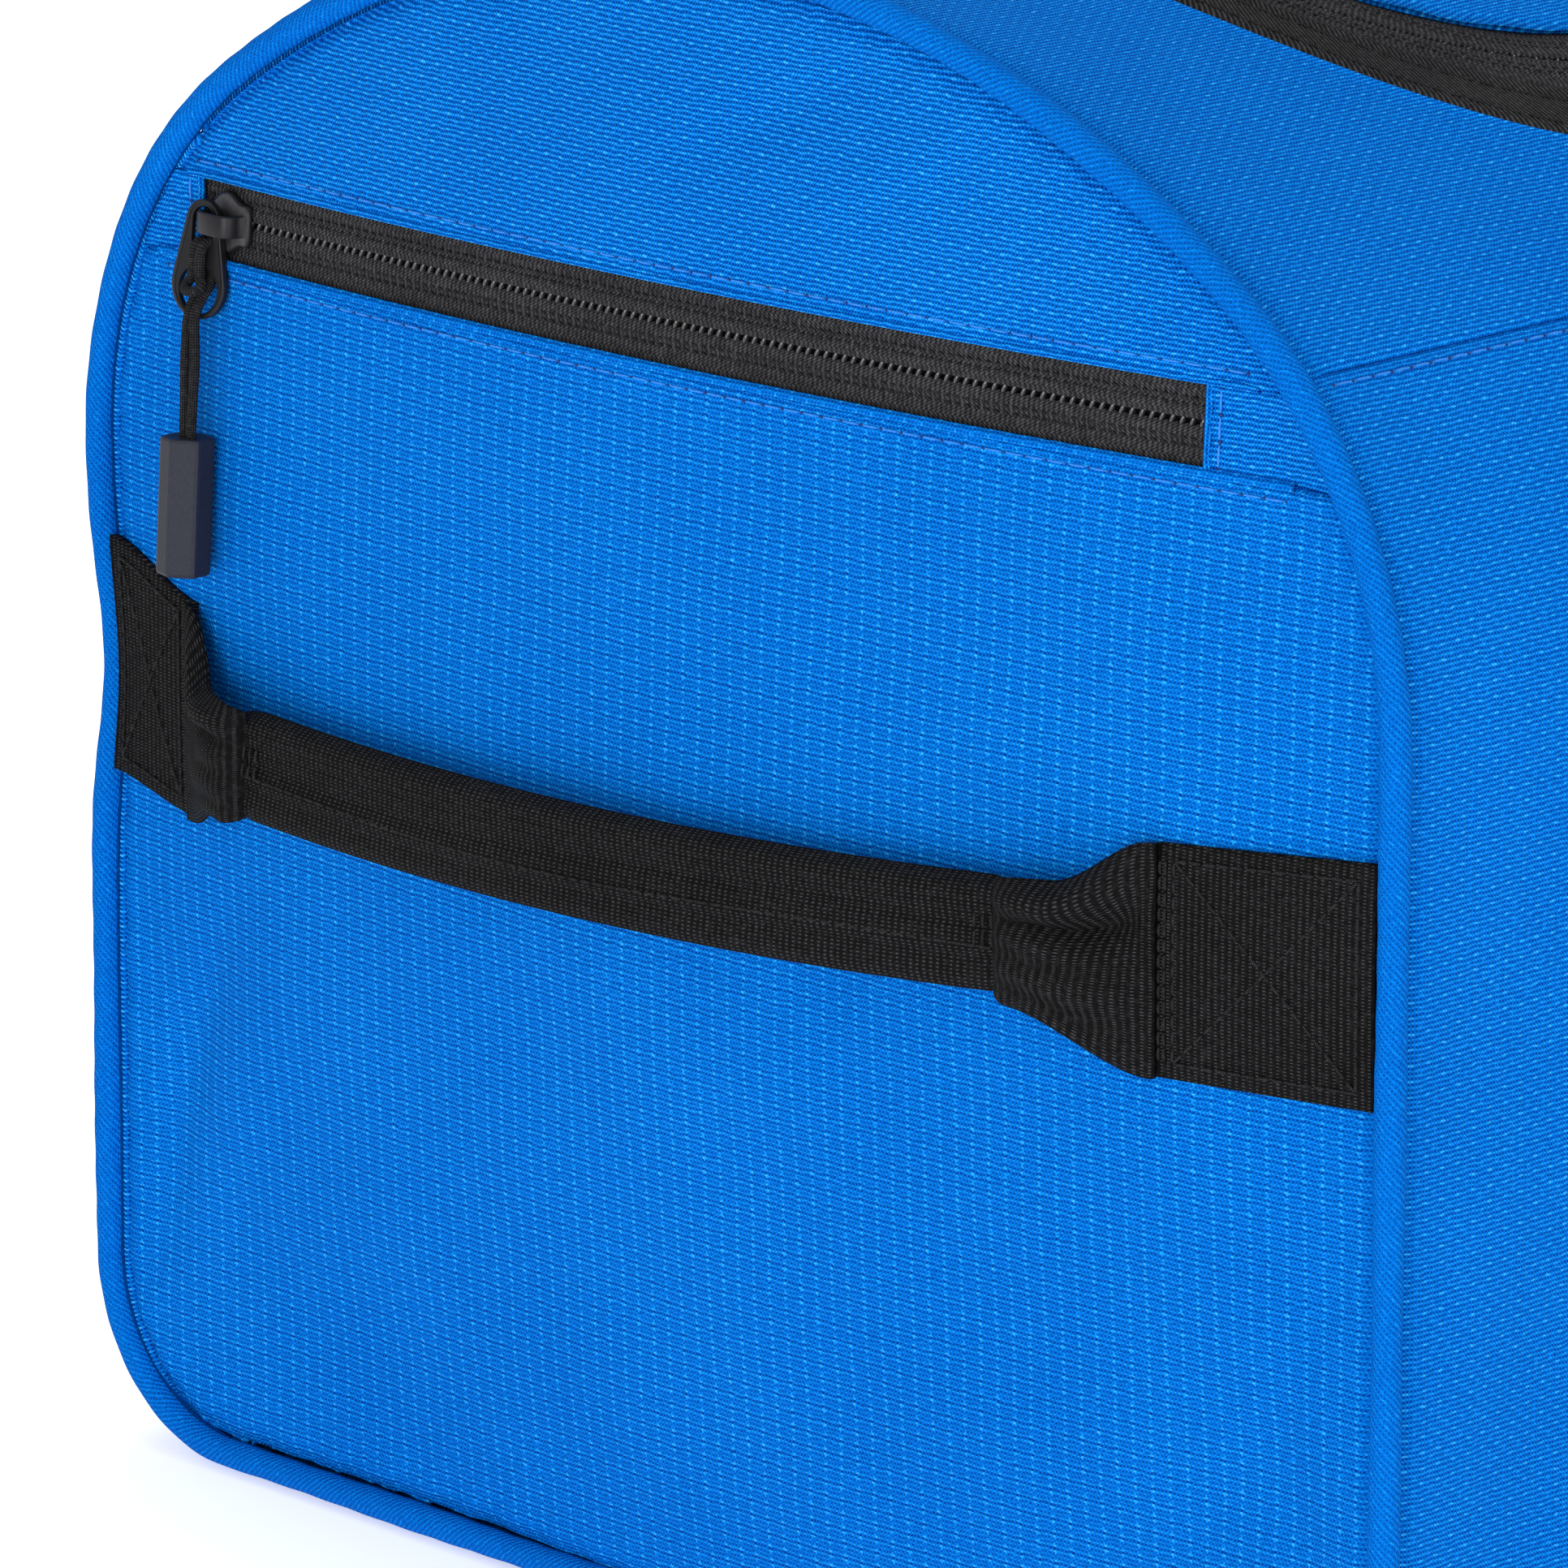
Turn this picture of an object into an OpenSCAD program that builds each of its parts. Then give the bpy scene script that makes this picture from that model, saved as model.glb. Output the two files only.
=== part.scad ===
// Ski boot bag: an arched duffel with a flat base, a U-shaped zipped lid, a zipped pocket in one
// end panel, a webbing grab handle on each end and two carry handles.
// X runs along the bag with the pocket end at -X, the front is -Y, Z is up and the base is at z = 0.

/* [Bag] */
// Length between the planes of the two end panels
bag_length = 470; // [440:10:500]
// Width between the centrelines of the end piping
bag_width = 365.4; // [360:0.2:370]
// Height of the piping's centreline at the top of the arch
bag_height = 344; // [342:0.5:348]
// Height where the straight sides turn into the shoulders
shoulder_height = 216.5; // [214:0.5:219]
// Radius of the shoulders
shoulder_radius = 101.6; // [99:0.2:104]
// Radius of the long bottom edges
base_radius = 40.5; // [38:0.5:42]
// Thickness of the padded cloth of the barrel
cloth = 3; // [2.5:0.5:3]
// How far the end panels bulge out at their middle
bulge = 12; // [11:0.5:13]
// Radius of the end piping
piping_radius = 3.1; // [2.8:0.1:3.2]

/* [Pocket zip] */
// Height of the zip's chain
pocket_zip_height = 271; // [268:1:275]
// Width of the window between the two folded edges
pocket_window = 17.6; // [15.6:0.2:18]
// Where the slider rests, measured along Y
pocket_slider_y = 139; // [130:1:140]
// How much the zip falls towards the slider, in degrees
pocket_zip_fall = 1.2; // [0:0.1:1.5]

/* [Lid] */
// Gap from an end plane to the outer edge of the lid's zip
mouth_end_gap = 59.6; // [56:0.2:64]
// Distance from the middle to the front edge of the lid's zip
mouth_front = 131.1; // [128:0.1:133]
// Corner radius of that edge, seen from above
mouth_corner = 92; // [88:1:94]
// Distance from the middle to the lid's hinge line
hinge_y = 110; // [106:1:114]
// Distance of each lid slider from the middle
lid_slider_x = 20; // [20:1:30]

/* [Handles] */
// Width of the webbing
webbing = 50; // [48:1:50]
// Height of the middle of the end handle's anchors
anchor_height = 171; // [168:1:174]
// Half length of the folded and sewn middle of an end handle
fold_half = 113; // [110:1:114]
// How far an end handle sits off centre
handle_shift = 10; // [6:1:11]
// Distance of each carry handle's leg from the middle
carry_leg_x = 110; // [106:1:112]
// Height where a carry handle leaves its anchors
carry_pivot_height = 252; // [250:1:254]

/* [Pull] */
// Length of the rubber grip
grip_length = 28.7; // [27:0.1:31]
// Width of the rubber grip over its corners
grip_width = 11.5; // [11:0.1:12]
// Thickness of the cord
pull_cord = 2; // [1.8:0.1:2.1]

/* [Hidden] */
$fn = 128;

// Colours of the cloth, the webbing and tapes, and the metal
blue = "#0a6fd8";
black = "#1b1b1e";
metal = "#2c2c30";

// The arch: two shoulders under one wide top arc, tangent to both
half_width = bag_width / 2;
shoulder_y = half_width - shoulder_radius;
rise = bag_height - shoulder_height;
top_radius = (pow(shoulder_y, 2) + pow(rise, 2) - pow(shoulder_radius, 2)) / (2 * (rise - shoulder_radius));
top_centre = bag_height - top_radius;
top_angle = atan2(shoulder_height - top_centre, shoulder_y);
half_length = bag_length / 2;

// The barrel's cloth stops just short of the piping
wall_end = half_length - piping_radius - 0.1;
// Angle up the shoulder to the long seam between side panel and yoke
seam_angle = 43.3;
// Half width of the bindings over the long seams, in degrees round the shoulder
binding_angle = 4;
// Height of the bottom run of the end piping's centreline
piping_base = piping_radius + 0.3;
// Inset of an end panel from the piping's centreline
panel_inset = piping_radius + 0.1;

// The bulge is part of a large sphere that meets the flat rim at bulge_reach
bulge_reach = 180;
bulge_radius = (pow(bulge_reach, 2) + pow(bulge, 2)) / (2 * bulge);
bulge_height = 173;
bulge_x = -half_length - bulge + bulge_radius;

// Depths below the outer face of an end panel
panel_skin = 2;
tape_top = 2.1;
tape_skin = 0.8;
coil_skin = 1.8;
lining_top = 5.2;
lining_skin = 1.5;
zip_tape_half = 14;
coil_width = 2.4;
coil_gap = 0.6;
// Tape over the cut edges round an end panel
binding_width = 5;
binding_skin = 1.5;
// Ends of the zip's window along Y
window_left = 149;
window_right = -136.5;

// Plan offsets of the lid's zip, counted inwards from its outer edge
band_in = 12.5;
chain_in = 26;
lid_edge_in = 34.2;
hinge_gap = 1.5;
chain_stop = 6;
mouth_half = half_length - mouth_end_gap;

// Webbing
web_skin = 1.8;
fold_skin = 4.5;
fold_height = webbing / 2;
anchor_step = 23;
strap_stand = 16.5;
strap_bow = 8;
strap_sag = 2.3;
// The strap hangs a little lower at its +Y end
strap_fall = 2.3;
strap_drop = 4.5;
anchor_end = 179;
// Half height of the gathered step, where the webbing narrows
step_half = 18;
carry_radius = 110;
carry_centre = 150;
carry_skin = 3;
carry_anchor_base = 175;

// Slider and pull
plate_gap = 0.4;
plate_skin = 1.5;
bridge_leg_x = 4.8;
bridge_under = 3.8;
bridge_skin = 1.2;
bridge_width = 4.6;
leg_skin = 1.5;
pivot_lift = 2.2;
puller_turn = 15;
puller_tilt = 3;
puller_skin = 1.6;
puller_top_r = 4.1;
puller_low_r = 6.9;
puller_top_y = 0.3;
puller_low_y = -13.4;
upper_hole_r = 2.7;
upper_hole_low = -4.6;
lower_hole_r = 5;
lower_hole_y = -14.2;
web_y = -8.2;
cord_stand = 2.8;
cord_apart = 1.1;
grip_top = -44.3;
cord_bend_y = -22;
lid_cord_bend = 7;

// ---------- outlines ----------

function arc(cy, cz, r, from, to, n) = [for (i = [0:n]) let (a = from + (to - from) * i / n) [cy + r * cos(a), cz + r * sin(a)]];

// Outline of the arch in the YZ plane, inset by d, standing on z = low + d
function arch(d, low) =
    let (
        corner = base_radius - low,
        right = concat(
            arc(half_width - corner, low + corner, corner - d, -90, 0, 8),
            arc(shoulder_y, shoulder_height, shoulder_radius - d, 0, top_angle, 12),
            arc(0, top_centre, top_radius - d, top_angle, 90, 12)
        ),
        count = len(right)
    )
    concat(right, [for (i = [count - 2:-1:0]) [-right[i][0], right[i][1]]]);

// Outline of the lid's opening seen from above, inset by d and cut off at y = back
function mouth(d, back) = concat(
    [[-(mouth_half - d), back]],
    arc(-(mouth_half - mouth_corner), -(mouth_front - mouth_corner), mouth_corner - d, 180, 270, 18),
    arc(mouth_half - mouth_corner, -(mouth_front - mouth_corner), mouth_corner - d, 270, 360, 18),
    [[mouth_half - d, back]]
);

// ---------- frames and helpers ----------

// Stands a YZ outline up and runs it from x0 to x1
module along_x(x0, x1) {
    translate([x0, 0, 0]) rotate([90, 0, 90]) linear_extrude(x1 - x0) children();
}

// Part of a tube about an axis along X, between two angles from +Y towards +Z
module tube_wall(y, z, outer, inner, from, to, reach) {
    translate([-reach, y, z]) rotate([90, 0, 90]) rotate([0, 0, from])
        rotate_extrude(angle = to - from, $fn = 256)
            translate([inner, 0]) square([outer - inner, 2 * reach]);
}

module mirrored_y() {
    children();
    mirror([0, 1, 0]) children();
}

// Turns a pocket-end piece round to the far end
module far_end() {
    rotate([0, 0, 180]) children();
}

// Everything behind a surface that stands off the end panel's outer face by off
module behind_end_face(off) {
    translate([bulge_x, 0, bulge_height]) sphere(bulge_radius + off, $fn = 360);
    translate([-half_length - off, -bag_width, -20]) cube([60 + off, 2 * bag_width, 420]);
}

// A layer of an end wall between two depths, where negative is below the outer face
module end_layer(top, bottom, inset) {
    intersection() {
        along_x(-half_length - bulge - 10, -half_length + 20) polygon(arch(inset, piping_base));
        difference() {
            behind_end_face(top);
            behind_end_face(bottom);
        }
    }
}

module between(y0, y1, z0, z1) {
    intersection() {
        children();
        translate([-half_length - 60, y0, z0]) cube([100, y1 - y0, z1 - z0]);
    }
}

// Tilts pieces with the pocket's zip, about the middle of the bulge so that they keep to its face
module fallen() {
    translate([0, 0, bulge_height]) rotate([-pocket_zip_fall, 0, 0]) translate([0, 0, -bulge_height]) children();
}

// As between(), but with edges that run with the pocket's zip
module along_zip(y0, y1, z0, z1) {
    intersection() {
        children();
        fallen() translate([-half_length - 60, y0, z0]) cube([100, y1 - y0, z1 - z0]);
    }
}

// A band of the curved top between two depths, inside a plan outline
module top_layer(top, bottom) {
    intersection() {
        translate([-half_length, 0, top_centre]) rotate([0, 90, 0])
            difference() {
                cylinder(r = top_radius - top, h = bag_length, $fn = 256);
                translate([0, 0, -1]) cylinder(r = top_radius - bottom, h = bag_length + 2, $fn = 256);
            }
        translate([0, 0, shoulder_height + 20]) linear_extrude(150) children();
    }
}

module mouth_ring(outer_in, inner_in, back) {
    difference() {
        polygon(mouth(outer_in, back));
        polygon(mouth(inner_in, back + 1));
    }
}

// Origin on the end panel over the pocket's zip, -Y down the panel and +Z out of it
module on_pocket_zip(y) {
    lean = asin((pocket_zip_height - bulge_height) / bulge_radius);
    fallen() translate([bulge_x, 0, bulge_height])
        rotate([0, lean, -asin(y / (bulge_radius * cos(lean)))])
            translate([-bulge_radius, 0, 0]) rotate([90, 0, -90]) children();
}

// Origin on the barrel over the front run of the lid's zip, -Y down the slope and +Z out of it
module on_lid_zip(x) {
    slope = asin((mouth_front - chain_in) / top_radius);
    translate([x, 0, top_centre]) rotate([slope, 0, 0]) translate([0, 0, top_radius]) children();
}

// ---------- barrel ----------

module side_panel() {
    color(blue) {
        tube_wall(half_width - base_radius, base_radius, base_radius, base_radius - cloth, -90, 0, wall_end);
        translate([-wall_end, half_width - cloth, base_radius])
            cube([2 * wall_end, cloth, shoulder_height - base_radius]);
        tube_wall(shoulder_y, shoulder_height, shoulder_radius, shoulder_radius - cloth, 0, seam_angle, wall_end);
    }
}

module front_side_panel() {
    mirror([0, 1, 0]) side_panel();
}

module back_side_panel() {
    side_panel();
}

module base_panel() {
    color(blue) translate([-wall_end, -(half_width - base_radius), 0])
        cube([2 * wall_end, 2 * (half_width - base_radius), cloth]);
}

// Stiff board that keeps the base flat under a pair of boots
module base_board() {
    color(black) translate([-half_length + 12, -(half_width - base_radius - 4), cloth])
        cube([bag_length - 24, 2 * (half_width - base_radius - 4), 2.5]);
}

// The top cloth round the lid's opening
module yoke() {
    color(blue) difference() {
        union() {
            tube_wall(0, top_centre, top_radius, top_radius - cloth, top_angle, 180 - top_angle, wall_end);
            mirrored_y() tube_wall(
                shoulder_y, shoulder_height, shoulder_radius, shoulder_radius - cloth,
                seam_angle, top_angle, wall_end
            );
        }
        translate([0, 0, shoulder_height + 20]) linear_extrude(150) polygon(mouth(0, hinge_y + hinge_gap));
    }
}

// The part of the yoke over a rectangle of the plan
module yoke_over(x0, x1, y0, y1) {
    intersection() {
        yoke();
        translate([x0, y0, shoulder_height]) cube([x1 - x0, y1 - y0, bag_height]);
    }
}

// The yoke is in pieces that none of them bends round the opening's corners
module front_yoke() {
    straight = mouth_half - mouth_corner;
    yoke_over(-straight, straight, -half_width, 0);
}

module back_yoke() {
    yoke_over(-half_length, half_length, hinge_y + hinge_gap, half_width);
}

module end_yokes() {
    straight = mouth_half - mouth_corner;
    yoke_over(-half_length, -straight, -half_width, hinge_y + hinge_gap);
    yoke_over(straight, half_length, -half_width, hinge_y + hinge_gap);
}

module long_seam_binding() {
    color(black) tube_wall(
        shoulder_y, shoulder_height, shoulder_radius - cloth, shoulder_radius - cloth - 1,
        seam_angle - binding_angle, seam_angle + binding_angle, wall_end - 12
    );
}

module front_seam_binding() {
    mirror([0, 1, 0]) long_seam_binding();
}

module back_seam_binding() {
    long_seam_binding();
}

// ---------- end walls ----------

module pocket_panel() {
    color(blue) along_zip(-220, 220, -30, pocket_zip_height - pocket_window / 2)
        end_layer(0, -panel_skin, panel_inset);
}

module upper_end_panel() {
    color(blue) along_zip(-220, 220, pocket_zip_height + pocket_window / 2, 400)
        end_layer(0, -panel_skin, panel_inset);
}

module zip_end_tabs() {
    low = pocket_zip_height - pocket_window / 2;
    high = pocket_zip_height + pocket_window / 2;
    color(blue) {
        along_zip(window_left, 220, low, high) end_layer(0, -panel_skin, panel_inset);
        along_zip(-220, window_right, low, high) end_layer(0, -panel_skin, panel_inset);
    }
}

// The pocket's back wall, which closes the main compartment at this end
module pocket_lining() {
    color(black) end_layer(-lining_top, -lining_top - lining_skin, panel_inset);
}

module pocket_zip_tapes() {
    color(black) {
        along_zip(window_right - 8, window_left + 8, pocket_zip_height + coil_gap / 2, pocket_zip_height + zip_tape_half)
            end_layer(-tape_top, -tape_top - tape_skin, panel_inset);
        along_zip(window_right - 8, window_left + 8, pocket_zip_height - zip_tape_half, pocket_zip_height - coil_gap / 2)
            end_layer(-tape_top, -tape_top - tape_skin, panel_inset);
    }
}

module pocket_zip_chain() {
    under = tape_top + tape_skin;
    color(metal) for (low = [coil_gap / 2, -coil_gap / 2 - coil_width])
        along_zip(window_right - 4, window_left + 4, pocket_zip_height + low, pocket_zip_height + low + coil_width)
            end_layer(-under, -under - coil_skin, panel_inset);
}

module far_end_panel() {
    color(blue) far_end() end_layer(0, -cloth, panel_inset);
}

// Round piping that follows the arch in one end plane
module piping() {
    corner = base_radius - piping_base;
    color(blue) translate([-half_length, 0, 0]) rotate([90, 0, 90]) {
        translate([0, top_centre]) rotate([0, 0, top_angle])
            rotate_extrude(angle = 180 - 2 * top_angle, $fn = 256) translate([top_radius, 0]) circle(piping_radius, $fn = 32);
        for (side = [0, 1]) mirror([side, 0, 0]) {
            translate([shoulder_y, shoulder_height])
                rotate_extrude(angle = top_angle, $fn = 192) translate([shoulder_radius, 0]) circle(piping_radius, $fn = 32);
            translate([half_width - corner, piping_base + corner]) rotate([0, 0, -90])
                rotate_extrude(angle = 90, $fn = 128) translate([corner, 0]) circle(piping_radius, $fn = 32);
            translate([half_width, piping_base + corner]) rotate([-90, 0, 0])
                cylinder(r = piping_radius, h = shoulder_height - piping_base - corner, $fn = 32);
        }
        translate([-(half_width - corner), piping_base]) rotate([0, 90, 0])
            cylinder(r = piping_radius, h = 2 * (half_width - corner), $fn = 32);
    }
}

module end_piping() {
    piping();
}

module far_end_piping() {
    far_end() piping();
}

// Tape over the cut edges inside, behind the rim of an end panel
module seam_binding(top, bottom) {
    color(black) difference() {
        end_layer(top, bottom, panel_inset);
        along_x(-half_length - 40, -half_length + 40) polygon(arch(panel_inset + binding_width, piping_base));
    }
}

module end_seam_binding() {
    seam_binding(-lining_top - lining_skin, -lining_top - lining_skin - binding_skin);
}

module far_seam_binding() {
    far_end() seam_binding(-cloth, -cloth - binding_skin);
}

// ---------- lid and its zip ----------

module mouth_binding() {
    color(black) top_layer(0, cloth) mouth_ring(0, band_in, hinge_y + hinge_gap);
}

module mouth_zip_tape() {
    color(black) top_layer(tape_top, tape_top + tape_skin)
        mouth_ring(band_in, chain_in - coil_gap / 2, hinge_y + hinge_gap);
}

module mouth_zip_coil() {
    outer = chain_in - coil_gap / 2 - coil_width;
    color(metal) top_layer(tape_top + tape_skin, tape_top + tape_skin + coil_skin)
        mouth_ring(outer, chain_in - coil_gap / 2, hinge_y - chain_stop);
}

module lid_zip_coil() {
    inner = chain_in + coil_gap / 2 + coil_width;
    color(metal) top_layer(tape_top + tape_skin, tape_top + tape_skin + coil_skin)
        mouth_ring(chain_in + coil_gap / 2, inner, hinge_y - chain_stop);
}

module lid_zip_tape() {
    color(black) top_layer(tape_top, tape_top + tape_skin)
        mouth_ring(chain_in + coil_gap / 2, lid_edge_in, hinge_y - hinge_gap);
}

module lid_panel() {
    color(blue) top_layer(0, cloth) polygon(mouth(lid_edge_in, hinge_y - hinge_gap));
}

// Binding under the back edge that the lid folds along
module lid_hinge_binding() {
    reach = mouth_half - band_in;
    color(black) top_layer(cloth, cloth + 1) translate([-reach, hinge_y + hinge_gap]) square([2 * reach, 14]);
}

// ---------- end handles ----------

// Flat sewn end of the strap, and the gathered step up to the folded middle
module handle_anchor(side) {
    inner = side * handle_shift + fold_half + anchor_step;
    start = side * handle_shift + fold_half + 1;
    low = anchor_height - webbing / 2;
    color(black) on_side(side) {
        between(inner, anchor_end, low, low + webbing) end_layer(web_skin, 0, panel_inset);
        translate([0, 0, anchor_height - step_half]) linear_extrude(2 * step_half) polygon([
            [-half_length - anchor_rise(inner), inner],
            [-half_length - anchor_rise(inner) - 3, inner],
            [-half_length - strap_stand - fold_skin / 2, start],
            [-half_length - strap_stand + fold_skin / 2, start]
        ]);
    }
}

// How far the face of a flat anchor stands off the end plane
function anchor_rise(y) = bulge - pow(y, 2) / (2 * bulge_radius) + web_skin + 0.2;

module on_side(side) {
    mirror([0, side > 0 ? 0 : 1, 0]) children();
}

module end_handle_anchors() {
    handle_anchor(1);
    handle_anchor(-1);
}

module far_handle_anchors() {
    far_end() end_handle_anchors();
}

// The middle of the strap, folded in half and sewn: an arc that bows out and sags
module handle_strap() {
    span = sqrt(pow(strap_bow, 2) + pow(strap_sag, 2));
    fall = atan2(strap_sag, strap_bow);
    radius = (pow(fold_half, 2) + pow(span, 2)) / (2 * span);
    sweep = asin((fold_half - 3) / radius);
    section = [[-fold_skin / 2, -fold_height / 2], [fold_skin / 2, -fold_height / 2],
               [fold_skin / 2, fold_height / 2], [-fold_skin / 2, fold_height / 2]];
    color(black) translate([-half_length - strap_stand, handle_shift, anchor_height - strap_drop])
        rotate([-strap_fall, 0, 0]) rotate([0, -fall, 0]) translate([radius - span, 0, 0]) rotate([0, 0, 180 - sweep])
            rotate_extrude(angle = 2 * sweep, $fn = 720) translate([radius, 0]) rotate([0, 0, fall]) polygon(section);
}

module end_handle_strap() {
    handle_strap();
}

module far_handle_strap() {
    far_end() handle_strap();
}

// ---------- carry handles ----------

// One pair of webbing patches that a carry handle grows out of
module carry_anchors() {
    top = asin((carry_pivot_height - 4 - shoulder_height) / shoulder_radius);
    color(black) for (x = [-carry_leg_x, carry_leg_x]) translate([x, 0, 0]) {
        translate([-webbing / 2, half_width, carry_anchor_base])
            cube([webbing, web_skin, shoulder_height - carry_anchor_base]);
        tube_wall(shoulder_y, shoulder_height, shoulder_radius + web_skin, shoulder_radius, 0, top, webbing / 2);
    }
}

// A loop of webbing hanging down the side, with the middle folded in half
module carry_handle() {
    outer = carry_radius + fold_height / 2;
    inner = carry_radius - fold_height / 2;
    color(black) translate([0, half_width + web_skin + 0.7, 0]) mirror([0, 1, 0]) rotate([90, 0, 0])
        linear_extrude(carry_skin) {
            difference() {
                translate([0, carry_centre]) circle(outer);
                translate([0, carry_centre]) circle(inner);
                translate([-150, carry_centre]) square([300, 150]);
            }
            for (side = [-1, 1]) polygon([
                [side * inner, carry_centre], [side * outer, carry_centre],
                [side * (carry_leg_x + webbing / 2), carry_pivot_height],
                [side * (carry_leg_x - webbing / 2), carry_pivot_height]
            ]);
        }
}

module front_handle_anchors() {
    mirror([0, 1, 0]) carry_anchors();
}

module back_handle_anchors() {
    carry_anchors();
}

module front_carry_handle() {
    mirror([0, 1, 0]) carry_handle();
}

module back_carry_handle() {
    carry_handle();
}

// ---------- slider and pull ----------

// Top plate and bridge, with the wide end towards +X
module slider() {
    floor_z = -tape_top + plate_gap;
    roof_z = floor_z + plate_skin;
    color(metal) {
        translate([0, 0, floor_z]) linear_extrude(plate_skin) polygon([
            [-6.5, -4.4], [-3.4, -4.4], [0.5, -6.7], [3.5, -6], [6.5, -3.4],
            [6.5, 3.4], [3.5, 6], [0.5, 6.7], [-3.4, 4.4], [-6.5, 4.4]
        ]);
        for (x = [-bridge_leg_x, bridge_leg_x]) translate([x - leg_skin / 2, -bridge_width / 2, roof_z])
            cube([leg_skin, bridge_width, bridge_under - roof_z]);
        translate([-bridge_leg_x - leg_skin / 2, -bridge_width / 2, bridge_under])
            cube([2 * bridge_leg_x + leg_skin, bridge_width, bridge_skin]);
    }
}

// Frame of the pull: origin on the bridge's wide-end leg, half way up the window
module on_bridge(side) {
    translate([side * bridge_leg_x, 0, pivot_lift]) children();
}

// Flat teardrop with a hole for the bridge and a larger one for the fingers
module puller() {
    flare = asin((puller_low_r - puller_top_r) / (puller_top_y - puller_low_y));
    outline = concat(
        arc(0, puller_top_y, puller_top_r, flare, 180 - flare, 24),
        arc(0, puller_low_y, puller_low_r, 180 - flare, 360 + flare, 32)
    );
    slot = concat(
        arc(0, puller_top_y, upper_hole_r, 0, 180, 16),
        arc(0, upper_hole_low, upper_hole_r, 180, 360, 16)
    );
    color(metal) rotate([-puller_tilt, 0, 0]) rotate([0, puller_turn, 0])
        translate([0, 0, -puller_skin / 2]) linear_extrude(puller_skin) difference() {
            polygon(outline);
            polygon(slot);
            translate([0, lower_hole_y]) circle(lower_hole_r, $fn = 64);
        }
}

cord_z = cord_stand - web_y * sin(puller_tilt);
// The pull hangs from a point straight out from the turned puller
cord_side = cord_z * tan(puller_turn);

// Turns what lies below the bend towards the surface behind it
module below_bend(bend) {
    translate([0, cord_bend_y, cord_z]) rotate([bend, 0, 0]) translate([0, -cord_bend_y, -cord_z]) children();
}

// Two strands that hang from the puller's web, joined across their top
module cord(bend, side) {
    r = pull_cord / 2;
    color(black) translate([-side * cord_side, 0, 0]) {
        translate([-cord_apart, web_y, cord_z]) rotate([0, 90, 0]) cylinder(r = r, h = 2 * cord_apart, $fn = 24);
        for (x = [-cord_apart, cord_apart]) {
            translate([x, web_y, cord_z]) rotate([90, 0, 0]) cylinder(r = r, h = web_y - cord_bend_y, $fn = 24);
            translate([x, web_y, cord_z]) sphere(r, $fn = 24);
            translate([x, cord_bend_y, cord_z]) sphere(r + 0.02, $fn = 24);
            below_bend(bend) translate([x, cord_bend_y, cord_z]) rotate([90, 0, 0])
                cylinder(r = r, h = cord_bend_y - grip_top, $fn = 24);
        }
    }
}

// Six-sided rubber grip moulded round the ends of the cord
module grip(bend, side) {
    color(black) translate([-side * cord_side, 0, 0]) below_bend(bend) translate([0, grip_top, cord_z]) rotate([90, 0, 0])
        cylinder(r = grip_width / 2, h = grip_length, $fn = 6);
}

module pocket_slider() {
    on_pocket_zip(pocket_slider_y) mirror([1, 0, 0]) slider();
}

module pocket_puller() {
    on_pocket_zip(pocket_slider_y) on_bridge(-1) puller();
}

module pocket_pull_cord() {
    on_pocket_zip(pocket_slider_y) on_bridge(-1) cord(0, -1);
}

module pocket_pull_grip() {
    on_pocket_zip(pocket_slider_y) on_bridge(-1) grip(0, -1);
}

// The two lid sliders face each other across the middle, side -1 on the left and 1 on the right
module on_lid_slider(side) {
    on_lid_zip(side * lid_slider_x) children();
}

module left_lid_slider() {
    on_lid_slider(-1) slider();
}

module left_lid_puller() {
    on_lid_slider(-1) on_bridge(1) mirror([1, 0, 0]) puller();
}

module left_lid_pull_cord() {
    on_lid_slider(-1) on_bridge(1) cord(lid_cord_bend, 1);
}

module left_lid_pull_grip() {
    on_lid_slider(-1) on_bridge(1) grip(lid_cord_bend, 1);
}

module right_lid_slider() {
    on_lid_slider(1) mirror([1, 0, 0]) slider();
}

module right_lid_puller() {
    on_lid_slider(1) on_bridge(-1) puller();
}

module right_lid_pull_cord() {
    on_lid_slider(1) on_bridge(-1) cord(lid_cord_bend, -1);
}

module right_lid_pull_grip() {
    on_lid_slider(1) on_bridge(-1) grip(lid_cord_bend, -1);
}

base_panel();
base_board();
front_side_panel();
back_side_panel();
front_yoke();
back_yoke();
end_yokes();
pocket_panel();
upper_end_panel();
zip_end_tabs();
pocket_lining();
pocket_zip_tapes();
pocket_zip_chain();
far_end_panel();
end_piping();
far_end_piping();
end_seam_binding();
far_seam_binding();
front_seam_binding();
back_seam_binding();
mouth_binding();
mouth_zip_tape();
mouth_zip_coil();
lid_hinge_binding();
end_handle_anchors();
far_handle_anchors();
front_handle_anchors();
back_handle_anchors();
lid_panel();
lid_zip_tape();
lid_zip_coil();
end_handle_strap();
far_handle_strap();
front_carry_handle();
back_carry_handle();
pocket_slider();
pocket_puller();
pocket_pull_cord();
pocket_pull_grip();
left_lid_slider();
left_lid_puller();
left_lid_pull_cord();
left_lid_pull_grip();
right_lid_slider();
right_lid_puller();
right_lid_pull_cord();
right_lid_pull_grip();
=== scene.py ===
"""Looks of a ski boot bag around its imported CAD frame. Shapes are worked out in millimetres."""

import bpy
import numpy as np
from mathutils import Matrix, Vector


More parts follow.
